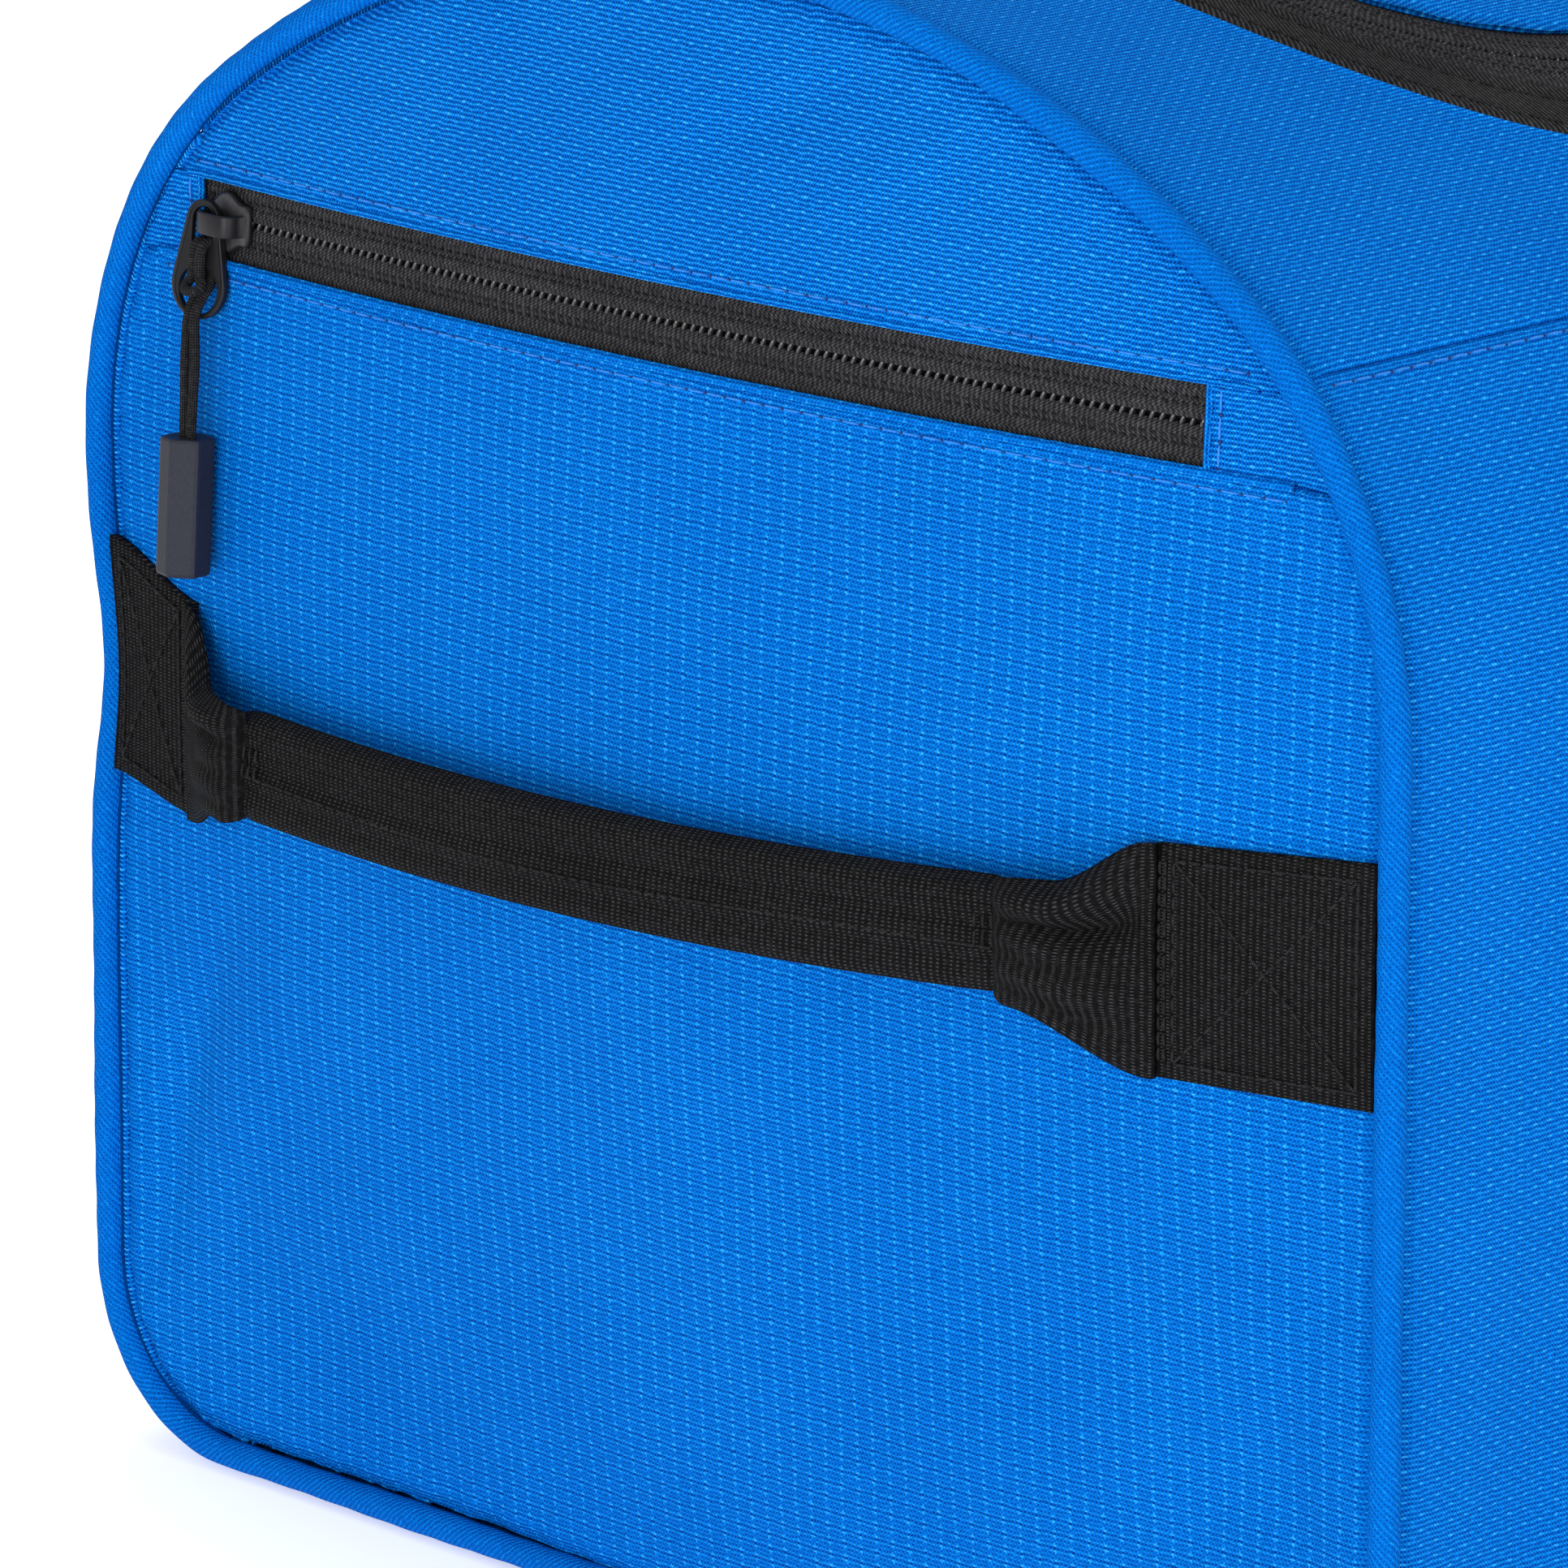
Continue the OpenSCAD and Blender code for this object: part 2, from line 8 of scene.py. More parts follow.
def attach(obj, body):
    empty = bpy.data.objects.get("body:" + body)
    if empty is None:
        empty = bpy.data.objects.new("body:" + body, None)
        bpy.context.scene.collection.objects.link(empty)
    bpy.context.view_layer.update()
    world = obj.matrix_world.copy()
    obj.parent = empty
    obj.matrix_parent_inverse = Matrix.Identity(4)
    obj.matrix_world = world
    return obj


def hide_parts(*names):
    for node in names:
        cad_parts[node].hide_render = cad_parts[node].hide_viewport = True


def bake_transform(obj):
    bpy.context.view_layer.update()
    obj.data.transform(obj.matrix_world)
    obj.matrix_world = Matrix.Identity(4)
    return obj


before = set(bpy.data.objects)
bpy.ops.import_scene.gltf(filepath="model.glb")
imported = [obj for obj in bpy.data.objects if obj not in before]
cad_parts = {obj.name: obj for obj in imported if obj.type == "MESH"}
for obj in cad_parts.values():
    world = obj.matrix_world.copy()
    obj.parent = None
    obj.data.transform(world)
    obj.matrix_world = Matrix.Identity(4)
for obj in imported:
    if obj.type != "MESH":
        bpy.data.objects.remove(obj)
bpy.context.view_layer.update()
MM = 0.001
TAU = 2 * np.pi

# ---------- camera ----------

AZIMUTH, ELEVATION, DISTANCE = np.radians(-44), np.radians(15.5), 2400.0
BACK = np.array([
    np.sin(AZIMUTH) * np.cos(ELEVATION), -np.cos(AZIMUTH) * np.cos(ELEVATION), np.sin(ELEVATION)])
RIGHT = np.array([np.cos(AZIMUTH), np.sin(AZIMUTH), 0.0])
UP = np.cross(BACK, RIGHT)
AIM = np.array([-235.0, 0.0, 173.1])
FOCAL = 7.7516  # focal length over the film's width
FILM = 36.0
TURN_RIGHT, TURN_UP = 0.0446, 0.0138  # how far the camera turns off its aim
place = AIM + DISTANCE * BACK
look = -BACK * FOCAL + RIGHT * TURN_RIGHT + UP * TURN_UP
look /= np.linalg.norm(look)
camera = bpy.data.objects.new("camera", bpy.data.cameras.new("camera"))
bpy.context.scene.collection.objects.link(camera)
side = np.cross(look, UP)
side /= np.linalg.norm(side)
top = np.cross(side, look)
camera.matrix_world = Matrix([
    [side[i], top[i], -look[i], place[i] * MM] for i in range(3)
] + [[0, 0, 0, 1]])
camera.data.sensor_width = FILM
camera.data.lens = FILM * FOCAL
camera.data.clip_end = 50
bpy.context.scene.camera = camera

# ---------- the frame's own numbers, as in part.scad ----------

HALF, WIDE, TALL = 235.0, 182.7, 344.0
ZS, RS, RB = 216.5, 101.6, 40.5
SY = WIDE - RS
RISE = TALL - ZS
RT = (SY**2 + RISE**2 - RS**2) / (2 * (RISE - RS))
ZC = TALL - RT
TOP_A = np.arctan2(ZS - ZC, SY)
PIPE, LOW = 3.1, 3.4
BULGE, BULGE_REACH = 12.0, 180.0
BULGE_R = (BULGE_REACH**2 + BULGE**2) / (2 * BULGE)
BULGE_Z, BULGE_X = 173.0, BULGE_R - HALF - BULGE
ZIP_Z, GAP, WINDOW = 271.0, 8.8, (-136.5, 149.0)
MOUTH_X, MOUTH_Y, MOUTH_R, HINGE_Y = HALF - 59.6, 131.1, 92.0, 110.0
WALL_END = HALF - PIPE - 0.1
WEBBING_HALF, SLIDER_Y, LID_INSET = 25.0, 139.0, 34.2
ZIP_FALL = np.radians(-1.2)  # the pocket's zip falls towards its slider
S_TOP = RT * (np.pi / 2 - TOP_A)
S_SHOULDER = S_TOP + RS * TOP_A
S_SIDE = S_SHOULDER + ZS - RB
S_CORNER = S_SIDE + RB * np.pi / 2
S_SEAM = S_TOP + RS * (TOP_A - np.radians(43.3))

# Sizes of the looks alone
TUCKED = WALL_END + 1.6  # where the barrel's cloth ends, under the piping
STITCH, TOOTH = 5.3, 2.43  # length along the seam of a blue stitch, and along the zip of a tooth

# ---------- numbers and outlines ----------


def grid(*coordinates):
    """Coordinates joined into points, each stretched to the others' shape."""
    return np.stack(np.broadcast_arrays(*coordinates), -1)


def as_column(a, b, count):
    return np.linspace(a, b, count)[:, None]


def as_row(a, b, count):
    return np.linspace(a, b, count)[None]


def edge_heavy(count):
    """Numbers from -1 to 1 that lie closer together towards both ends."""
    return np.sin(np.linspace(-1, 1, count) * 1.45) / np.sin(1.45)


def share(x):
    return np.clip(x, 0, 1)


def bell(x, width):
    return np.exp(-((x / width) ** 2))


def eased(t):
    """From 0 to 1 with a level start and end."""
    return t * t * (3 - 2 * t)


def run(path):
    """Length along a path up to each of its points."""
    return np.r_[0, np.cumsum(np.linalg.norm(np.diff(path, axis=0), axis=1))]


def barrel(s, off=0.0):
    """(y, z) at distance s along the barrel's outline from the top's middle, standing off by off."""
    s = np.asarray(s, float)
    d, sign = np.abs(s), np.sign(s)
    a1 = d / RT
    a2 = TOP_A - (d - S_TOP) / RS
    a3 = -(d - S_SIDE) / RB
    where = [d <= S_TOP, d <= S_SHOULDER, d <= S_SIDE, d <= S_CORNER]
    y = np.select(where, [
        (RT + off) * np.sin(a1), SY + (RS + off) * np.cos(a2), WIDE + off + 0 * d,
        WIDE - RB + (RB + off) * np.cos(a3)], WIDE - RB - (d - S_CORNER))
    z = np.select(where, [
        ZC + (RT + off) * np.cos(a1), ZS + (RS + off) * np.sin(a2), ZS - (d - S_SHOULDER),
        RB + (RB + off) * np.sin(a3)], -off + 0 * d)
    return sign * y, z


def on_barrel(x, s, off=0.0):
    y, z = barrel(s, off)
    return np.stack(np.broadcast_arrays(x, y, z), -1)


def arc(cy, cz, r, a0, a1, n):
    a = np.linspace(a0, a1, n)
    return grid(cy + r * np.cos(a), cz + r * np.sin(a))


def arch(inset, count=900):
    """Closed outline of an end wall, inset, evenly spaced, from the bottom's middle round by +Y."""
    corner = RB - LOW
    right = np.vstack([
        [[0, LOW + inset]],
        arc(WIDE - corner, LOW + corner, corner - inset, -np.pi / 2, 0, 40),
        arc(SY, ZS, RS - inset, 0, TOP_A, 60),
        arc(0, ZC, RT - inset, TOP_A, np.pi / 2, 80),
    ])
    loop = np.vstack([right, right[-2::-1] * [-1, 1]])
    step = run(loop)
    at = np.linspace(0, step[-1], count, endpoint=False)
    return np.stack([np.interp(at, step, loop[:, i]) for i in (0, 1)], -1)


def half_width(z, inset):
    """Half the width of an end wall's outline at height z."""
    z = np.asarray(z, float)
    corner = RB - LOW
    foot = np.sqrt(np.maximum((corner - inset) ** 2 - np.minimum(z - LOW - corner, 0) ** 2, 0))
    wide = np.maximum(z - ZS, 0)
    shoulder = SY + np.sqrt(np.maximum((RS - inset) ** 2 - wide**2, 0))
    crest = np.sqrt(np.maximum((RT - inset) ** 2 - (z - ZC) ** 2, 0))
    upper = np.where(z - ZS > (RS - inset) * np.sin(TOP_A), crest, shoulder)
    return np.where(z < LOW + corner, WIDE - corner + foot, upper)


def crown(y, inset):
    a = np.abs(y)
    edge = (RT - inset) * np.cos(TOP_A)
    return np.where(
        a <= edge,
        ZC + np.sqrt(np.maximum((RT - inset) ** 2 - a**2, 0)),
        ZS + np.sqrt(np.maximum((RS - inset) ** 2 - np.maximum(a - SY, 0) ** 2, 0)),
    )


def dome(y, z, off=0.0):
    """x of the end wall's face, standing off it by off."""
    r2 = y**2 + (z - BULGE_Z) ** 2
    return np.minimum(-HALF - off, BULGE_X - np.sqrt(np.maximum((BULGE_R + off) ** 2 - r2, 0)))


def on_end(y, z, off=0.0):
    y, z, off = np.broadcast_arrays(*(np.asarray(v, float) for v in (y, z, off)))
    return grid(dome(y, z, off), y, z)


def fallen(y, z):
    """(y, z) turned with the pocket's zip, about the middle of the bulge."""
    c, s = np.cos(ZIP_FALL), np.sin(ZIP_FALL)
    return y * c - (z - BULGE_Z) * s, BULGE_Z + y * s + (z - BULGE_Z) * c


def by_zip(y, z, off=0.0):
    return on_end(*fallen(*np.broadcast_arrays(np.asarray(y, float), z)), off)


def pinch(p):
    """A handle pulls the rim in a little at its slack anchor, at +Y on this end and at -Y on the far end."""
    p = np.array(p, float)
    x, y, z = p[..., 0], p[..., 1], p[..., 2]
    if p.size == 0:
        return p
    slack = (x * y < 0)
    near = bell(np.abs(x) - HALF, 34) * bell(z - 169, 24)
    rim = share((np.abs(y) - 150) / 32) ** 2
    p[..., 1] = y - np.sign(y) * 4.6 * near * rim * slack
    return p


def ripple(a, b, seed):
    """Smooth unevenness between about -1 and 1, from a few seeded waves. a and b are in millimetres."""
    rng = np.random.default_rng(seed)
    total = 0.0
    for _ in range(9):
        angle, length, shift = rng.uniform(0, TAU), rng.uniform(38, 150), rng.uniform(0, TAU)
        total = total + np.sin(TAU * (a * np.cos(angle) + b * np.sin(angle)) / length + shift)
    return total / 5.0


# ---------- materials ----------


class Paint:
    """A node material under construction."""

    def __init__(self, name, rough, **sockets):
        self.mat = bpy.data.materials.new(name)
        self.mat.use_nodes = True
        self.tree = self.mat.node_tree
        self.shader = self.tree.nodes["Principled BSDF"]
        self.shader.inputs["Roughness"].default_value = rough
        for key, value in sockets.items():
            self.shader.inputs[key.replace("_", " ")].default_value = value

    def node(self, kind, *values, **settings):
        n = self.tree.nodes.new("ShaderNode" + kind)
        for key, value in settings.items():
            setattr(n, key, value)
        for i, value in enumerate(values):
            self.put(n.inputs[i], value)
        return n

    def put(self, socket, value):
        if value is None:
            return
        if isinstance(value, bpy.types.NodeSocket):
            self.tree.links.new(value, socket)
        else:
            socket.default_value = value

    def math(self, op, a, b=None, c=None):
        return self.node("Math", a, b, c, operation=op).outputs[0]

    def plus(self, a, b):
        return self.math("ADD", a, b)

    def times(self, a, b, then_add=0.0):
        return self.math("MULTIPLY_ADD", a, b, then_add)

    def speckle(self, value, scale, detail, amount):
        """The value with noise added, by up to half the amount either way."""
        return self.times(self.math("SUBTRACT", self.noise(scale, detail), 0.5), amount, value)

    def uv(self):
        split = self.node("SeparateXYZ", self.node("UVMap", uv_map="cloth").outputs[0])
        return split.outputs[0], split.outputs[1]

    def noise(self, scale, detail=3.0):
        n = self.node("TexNoise")
        self.put(n.inputs["Vector"], self.node("TexCoord").outputs["Object"])
        n.inputs["Scale"].default_value = scale
        n.inputs["Detail"].default_value = detail
        return n.outputs["Fac"]

    def wave(self, value, pitch):
        """A sine with that pitch in millimetres."""
        return self.math("SINE", self.times(value, TAU / (pitch * MM)))

    def level(self, value, low, high):
        return self.node("MapRange", value, low, high, 0.0, 1.0).outputs[0]

    def colour(self, stops, value):
        ramp = self.node("ValToRGB", value)
        points = ramp.color_ramp.elements
        while len(points) < len(stops):
            points.new(0.5)
        for point, (at, rgb) in zip(points, stops):
            point.position = at
            point.color = (*rgb, 1)
        self.tree.links.new(ramp.outputs[0], self.shader.inputs["Base Color"])

    def bump(self, height, depth):
        n = self.node("Bump")
        n.inputs["Strength"].default_value = 1.0
        n.inputs["Distance"].default_value = depth * MM
        self.put(n.inputs["Height"], height)
        self.tree.links.new(n.outputs[0], self.shader.inputs["Normal"])


def blue_cloth(name, columns=True, level=1.0, blocks=1.0, grain=0.36):
    """Patterned polyester: fine thread rows, with columns of light ticks or light blocks set like bricks."""
    p = Paint(name, 0.75, Specular_IOR_Level=0.02)
    u, v = p.uv()
    drift = p.times(p.math("SUBTRACT", p.noise(420.0, 1.0), 0.5), 0.0007)
    u, v = p.plus(u, drift), p.plus(v, drift)
    if columns:
        slant = p.wave(p.plus(u, p.times(v, 0.4)), 0.95)
        fine = p.times(p.times(slant, 0.6, 0.6), p.wave(v, 1.03))
        column = p.level(p.wave(u, 4.3), 0.66, 1.0)
        tick = p.level(p.wave(v, 1.55), -0.95, -0.1)
        block = p.times(column, p.times(tick, 0.42 * blocks, -0.17))
        block = p.times(p.wave(v, 1.55), 0.05, block)
        middle = 0.40
    else:
        rows = p.wave(v, 1.03)
        fine = p.times(p.times(p.wave(u, 0.8), 0.55, 0.7), rows)
        brick = p.times(p.wave(u, 4.3), p.wave(v, 3.09))
        block = p.times(p.level(brick, 0.45, 0.9), p.times(rows, 0.08, 0.17 * blocks))
        middle = 0.395
    value = p.times(fine, grain, middle)
    value = p.plus(value, block)
    value = p.speckle(value, 22.0, 4.0, 0.10)
    value = p.speckle(value, 1500.0, 1.0, 0.40)
    p.colour([
        (0.0, (0.0, 0.028 * level, 0.22 * level)),
        (0.45, (0.0, 0.134 * level, 0.565 * level)),
        (0.68, (0.003, 0.240 * level, 0.74 * level)),
        (1.0, (0.06, 0.47 * level, 0.94 * level)),
    ], value)
    p.bump(p.plus(fine, block), 0.17)
    return p.mat


def black_weave(name, pattern, pitch, dark=0.006, light=0.075, depth=0.14):
    """Woven black tape. pattern is ribs, twill, herringbone, plain or braid, and pitch is in millimetres."""
    p = Paint(name, 0.8, Specular_IOR_Level=0.06)
    u, v = p.uv()
    if pattern == "ribs":
        value = p.times(p.level(p.wave(u, pitch), -0.7, 0.6), p.level(p.wave(v, pitch * 0.42), -1.0, 0.8))
        value = p.times(value, 2.0, -1.0)
    elif pattern == "twill":
        value = p.wave(p.plus(u, v), pitch)
    elif pattern == "herringbone":
        fold = p.math("PINGPONG", v, 0.0022)
        value = p.times(p.wave(p.plus(u, fold), pitch), p.wave(v, pitch * 1.1))
    elif pattern == "braid":
        value = p.times(p.wave(p.plus(u, v), pitch), p.wave(p.math("SUBTRACT", u, v), pitch))
    else:
        value = p.times(p.wave(u, pitch), p.wave(v, pitch))
    shade = p.times(value, 0.40, 0.42)
    shade = p.speckle(shade, 1000.0, 2.0, 0.9)
    shade = p.speckle(shade, 30.0, 3.0, 0.2)
    p.colour([
        (0.0, (dark,) * 3),
        (0.5, (light * 0.3, light * 0.3, light * 0.33)),
        (1.0, (light, light, light * 1.05)),
    ], shade)
    p.bump(value, depth)
    return p.mat


def hard(name, base, rough, metallic=0.0, grain=900.0, depth=0.03, worn=None, specular=0.3):
    p = Paint(name, rough, Metallic=metallic, Specular_IOR_Level=specular)
    value = p.noise(grain, 3.0)
    if worn:
        edge = p.level(p.node("NewGeometry").outputs["Pointiness"], 0.53, 0.62)
        value = p.times(edge, 0.7, p.times(value, 0.3))
    light = worn or tuple(c * 2.2 for c in base)
    p.colour([(0.0, base), (0.55, tuple(c * 1.6 for c in base)), (1.0, light)], value)
    p.bump(p.noise(grain, 3.0), depth)
    return p.mat


M = {
    "end": blue_cloth("end_cloth", grain=0.28),
    "crown": blue_cloth("end_top_cloth", columns=False),
    # Painted light: the barrel's cloth is the crown's cloth at level 1.07, a lighter copy for the light
    # falling on the bag's sides
    "barrel": blue_cloth("barrel_cloth_painted_lighter", columns=False, level=1.07, grain=0.30),
    "piping": blue_cloth("piping_cloth", columns=False, blocks=0.2, grain=0.16),
    "webbing": black_weave("webbing", "ribs", 1.63, dark=0.003, light=0.06, depth=0.25),
    "tape": black_weave("zip_tape", "herringbone", 1.25, light=0.10),
    "binding": black_weave("binding_tape", "twill", 1.3, light=0.06),
    "lining": black_weave("lining", "plain", 0.8, light=0.05, depth=0.06),
    "cord": black_weave("braided_cord", "braid", 1.1, light=0.06, depth=0.18),
    "thread": black_weave("black_thread", "twill", 0.5, light=0.05, depth=0.05),
    "coil": hard("zip_coil", (0.014, 0.014, 0.015), 0.16, specular=0.8),
    "metal": hard("black_metal", (0.014, 0.014, 0.016), 0.42, 0.55, worn=(0.09, 0.09, 0.095)),
    "rubber": hard("grip_rubber", (0.011, 0.012, 0.019), 0.5, grain=1500.0, depth=0.06, specular=0.16),
    "board": hard("base_board", (0.018, 0.018, 0.02), 0.7, grain=400.0, depth=0.1),
}
# Painted shade: dark blue marks at the stitches' ends stand for the shadow inside each needle hole
hole_shade = Paint("needle_hole_shade", 0.9)
hole_shade.colour([(0.0, (0.0, 0.012, 0.09)), (1.0, (0.0, 0.03, 0.18))], hole_shade.noise(900.0))
M["hole"] = hole_shade.mat
blue_thread = Paint("blue_thread", 0.6, Specular_IOR_Level=0.2)
blue_thread.colour([(0.0, (0.004, 0.12, 0.52)), (1.0, (0.035, 0.26, 0.74))], blue_thread.noise(1500.0))
M["blue_thread"] = blue_thread.mat
SLOTS = {
    **dict.fromkeys(("end", "crown", "barrel", "hole", "blue_thread"), "blue_cloth"),
    **dict.fromkeys(("webbing", "thread"), "webbing"),
    "piping": "piping_cloth", "tape": "zip_tape", "binding": "binding_tape", "lining": "lining",
    "cord": "braided_cord", "coil": "zip_coil", "metal": "black_metal", "rubber": "rubber_grip",
    "board": "stiffener",
}

# ---------- making meshes ----------


def build(name, points, faces, look, body, nodes=(), uv=None, smooth=True, blend=None):
    """A piece from points in millimetres. uv holds one pair a point, in millimetres along the cloth."""
    mesh = bpy.data.meshes.new(name)
    mesh.from_pydata((np.asarray(points, float) * MM).tolist(), [], faces)
    layer = mesh.uv_layers.new(name="cloth")
    corners = np.zeros(len(mesh.loops), np.int32)
    mesh.loops.foreach_get("vertex_index", corners)
    flat = np.zeros((len(points), 2)) if uv is None else np.asarray(uv, float).reshape(-1, 2) * MM
    layer.data.foreach_set("uv", flat[corners].astype(np.float32).ravel())
    mesh.polygons.foreach_set("use_smooth", [smooth] * len(mesh.polygons))
    mesh.materials.append(M[look])
    mesh.validate()
    obj = bpy.data.objects.new(name, mesh)
    bpy.context.scene.collection.objects.link(obj)
    if blend:
        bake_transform(obj)
    else:
        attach(obj, body)
    if nodes:
        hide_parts(*nodes)
    return obj


def quads(n, m, wrap_n=False, wrap_m=False, start=0):
    i, j = np.meshgrid(np.arange(n if wrap_n else n - 1), np.arange(m if wrap_m else m - 1), indexing="ij")
    i2, j2 = (i + 1) % n, (j + 1) % m
    f = grid(i * m + j, i2 * m + j, i2 * m + j2, i * m + j2).reshape(-1, 4) + start
    return f.tolist()


def tube_faces(n, m):
    """Faces round n rings of m points, with both ends closed."""
    return quads(n, m, False, True) + [list(range(m))[::-1], [(n - 1) * m + j for j in range(m)]]


def normals(p, flip):
    du, dv = np.gradient(p, axis=0), np.gradient(p, axis=1)
    n = np.cross(du, dv)
    n /= np.maximum(np.linalg.norm(n, axis=-1, keepdims=True), 1e-9)
    return -n if flip else n


def panel(name, p, thick, look, body, nodes=(), uv=None, flip=False, loop=False, **more):
    """A closed sheet of that thickness below the points p. flip turns it over; loop joins its ends."""
    n, m = p.shape[:2]
    out = normals(p, flip)
    if loop:
        wide = np.concatenate([p[-2:], p, p[:2]])
        out = normals(wide, flip)[2:-2]
    points = np.concatenate([p.reshape(-1, 3), (p - out * thick).reshape(-1, 3)])
    upper, lower = quads(n, m, loop), quads(n, m, loop, start=n * m)
    lower = [f[::-1] for f in lower]
    rim = []
    if not loop:
        edge = list(range(m)) + [i * m + m - 1 for i in range(1, n)]
        edge += [(n - 1) * m + j for j in range(m - 2, -1, -1)] + [i * m for i in range(n - 2, 0, -1)]
        rim = [[a, b, b + n * m, a + n * m] for a, b in zip(edge, edge[1:] + edge[:1])]
    else:
        for j, turn in ((0, False), (m - 1, True)):
            for i in range(n):
                a, b = i * m + j, ((i + 1) % n) * m + j
                f = [a, b, b + n * m, a + n * m]
                rim.append(f[::-1] if turn else f)
    faces = upper + lower + rim
    if flip:
        faces = [f[::-1] for f in faces]
    pair = None if uv is None else np.concatenate([uv.reshape(-1, 2)] * 2)
    return build(name, points, faces, look, body, nodes, pair, **more)


def sweep_points(path, across, up, section, closed=False):
    """Section points carried along a path. section is (m, 2), or (n, m, 2) where it changes."""
    section = np.asarray(section, float)
    if section.ndim == 2:
        section = np.broadcast_to(section, (len(path), *section.shape))
    p = path[:, None] + across[:, None] * section[..., :1] + up[:, None] * section[..., 1:]
    n, m = p.shape[:2]
    faces = quads(n, m, True, True) if closed else tube_faces(n, m)
    around = run(np.vstack([section[0], section[0][:1]]))[:m]
    uv = grid(*np.meshgrid(run(path), around, indexing="ij"))
    return p.reshape(-1, 3), faces, uv.reshape(-1, 2)


def sweep(name, path, across, up, section, look, body, nodes=(), closed=False, **more):
    points, faces, uv = sweep_points(path, across, up, section, closed)
    return build(name, points, faces, look, body, nodes, uv, **more)


def unit(v):
    return v / np.maximum(np.linalg.norm(v, axis=-1, keepdims=True), 1e-9)


def frames(path, up, closed=False):
    """(across, up) at each point of a path, with up made square to it."""
    t = np.gradient(path, axis=0)
    if closed:
        t = np.roll(path, -1, 0) - np.roll(path, 1, 0)
    t = unit(t)
    up = np.broadcast_to(np.asarray(up, float), path.shape)
    up = unit(up - t * np.sum(t * up, -1, keepdims=True))
    return np.cross(t, up), up


def rounded(width, height, corner, n=5):
    """Outline of a rounded rectangle, centred."""
    out = []
    for k, (sx, sy) in enumerate(((1, 1), (-1, 1), (-1, -1), (1, -1))):
        a = np.linspace(k * np.pi / 2, (k + 1) * np.pi / 2, n)
        cx, cy = sx * (width / 2 - corner), sy * (height / 2 - corner)
        out.append(grid(cx + corner * np.cos(a), cy + corner * np.sin(a)))
    return np.vstack(out)


def ring(radius, n=14):
    a = np.linspace(0, TAU, n, endpoint=False)
    return grid(radius * np.cos(a), radius * np.sin(a))


def evenly(path, step, closed=False):
    if closed:
        path = np.vstack([path, path[:1]])
    d = run(path)
    at = np.linspace(0, d[-1], max(int(round(d[-1] / step)), 2) + 1)
    return np.stack([np.interp(at, d, path[:, i]) for i in range(3)], -1)


def merge(parts):
    points, faces, uvs, count = [], [], [], 0
    for p, f, uv in parts:
        points.append(p)
        uvs.append(uv)
        faces += [[i + count for i in face] for face in f]
        count += len(p)
    return np.vstack(points), faces, np.vstack(uvs)


def stitches(name, paths, out, look, body, pitch=4.0, fill=0.78, radius=0.34, **more):
    """Thread showing as short arched dashes along paths. out gives the way out of the cloth at a point."""
    parts = []
    bow = np.array([-0.25, 0.12, 0.30, 0.12, -0.25])
    size = np.array([0.55, 0.95, 1.0, 0.95, 0.55])
    for path in paths:
        marks = evenly(np.asarray(path, float), pitch)
        for a, b in zip(marks[:-1], marks[1:]):
            t = as_column(0.5 - fill / 2, 0.5 + fill / 2, 5)
            n = unit(np.asarray(out((a + b) / 2), float))
            line = a + (b - a) * t + n * bow[:, None] * radius
            across, up = frames(line, n)
            section = ring(radius, 6)[None] * size[:, None, None]
            parts.append(sweep_points(line, across, up, section))
    points, faces, uv = merge(parts)
    return build(name, points, faces, look, body, uv=uv, **more)


def topstitch(name, rows, out):
    """A row of blue thread with a dark sunk mark at each stitch's end, painted shade for the needle hole
    there.
    """
    stitches(f"{name}_stitches", rows, out, "blue_thread", "bag", STITCH, 0.80, 0.27)
    holes = []
    for row in rows:
        marks = evenly(np.asarray(row, float), STITCH)
        holes += [m + np.outer([-0.45, 0, 0.45], (marks[1] - marks[0]) / STITCH) for m in marks]
    parts = []
    for hole in holes:
        n = unit(np.asarray(out(hole[1]), float))
        across, up = frames(hole - n * 0.28, n)
        section = ring(0.45, 8)[None] * np.array([0.4, 1, 0.4])[:, None, None]
        parts.append(sweep_points(hole - n * 0.28, across, up, section))
    points, faces, uv = merge(parts)
    build(f"{name}_needle_hole_shades", points, faces, "hole", "bag", uv=uv)


def end_out(p):
    return (p[0] - BULGE_X, p[1], p[2] - BULGE_Z)


def barrel_out(p):
    y, z = p[1], p[2]
    if abs(y) <= RT * np.cos(TOP_A) and z > ZS:
        return (0, y, z - ZC)
    if z > ZS:
        return (0, y - np.sign(y) * SY, z - ZS)
    return (0, np.sign(y), 0)


FAR = np.array([-1.0, -1.0, 1.0])

# ---------- pulls: cords first ----------


def rot(axis, degrees):
    return np.array(Matrix.Rotation(np.radians(degrees), 3, axis))


LEAN = np.degrees(np.arcsin((ZIP_Z - BULGE_Z) / BULGE_R))
POCKET_PHI = -np.degrees(np.arcsin(SLIDER_Y / (BULGE_R * np.cos(np.radians(LEAN)))))
POCKET_TURN = rot("X", np.degrees(ZIP_FALL)) @ rot("Z", POCKET_PHI) @ rot("Y", LEAN)
POCKET_AT = np.array([BULGE_X, 0, BULGE_Z]) + POCKET_TURN @ np.array([-BULGE_R, 0, 0])
POCKET_AXES = POCKET_TURN @ rot("Z", -90) @ rot("X", 90)
SLOPE = np.degrees(np.arcsin((MOUTH_Y - 26.0) / RT))
LID_AXES = rot("X", SLOPE)


def lid_at(x):
    return np.array([x, 0, ZC]) + LID_AXES @ np.array([0, 0, RT])


WEB_Y, BEND_Y, TILT, TURN = -7.2, -22.0, 3.0, 15.0
CORD_Z = 2.8 - WEB_Y * np.sin(np.radians(TILT))
CORD_SIDE = CORD_Z * np.tan(np.radians(TURN))
GRIP_TOP, GRIP_LONG, GRIP_R, CORD_R = -44.3, 28.7, 5.75, 1.1


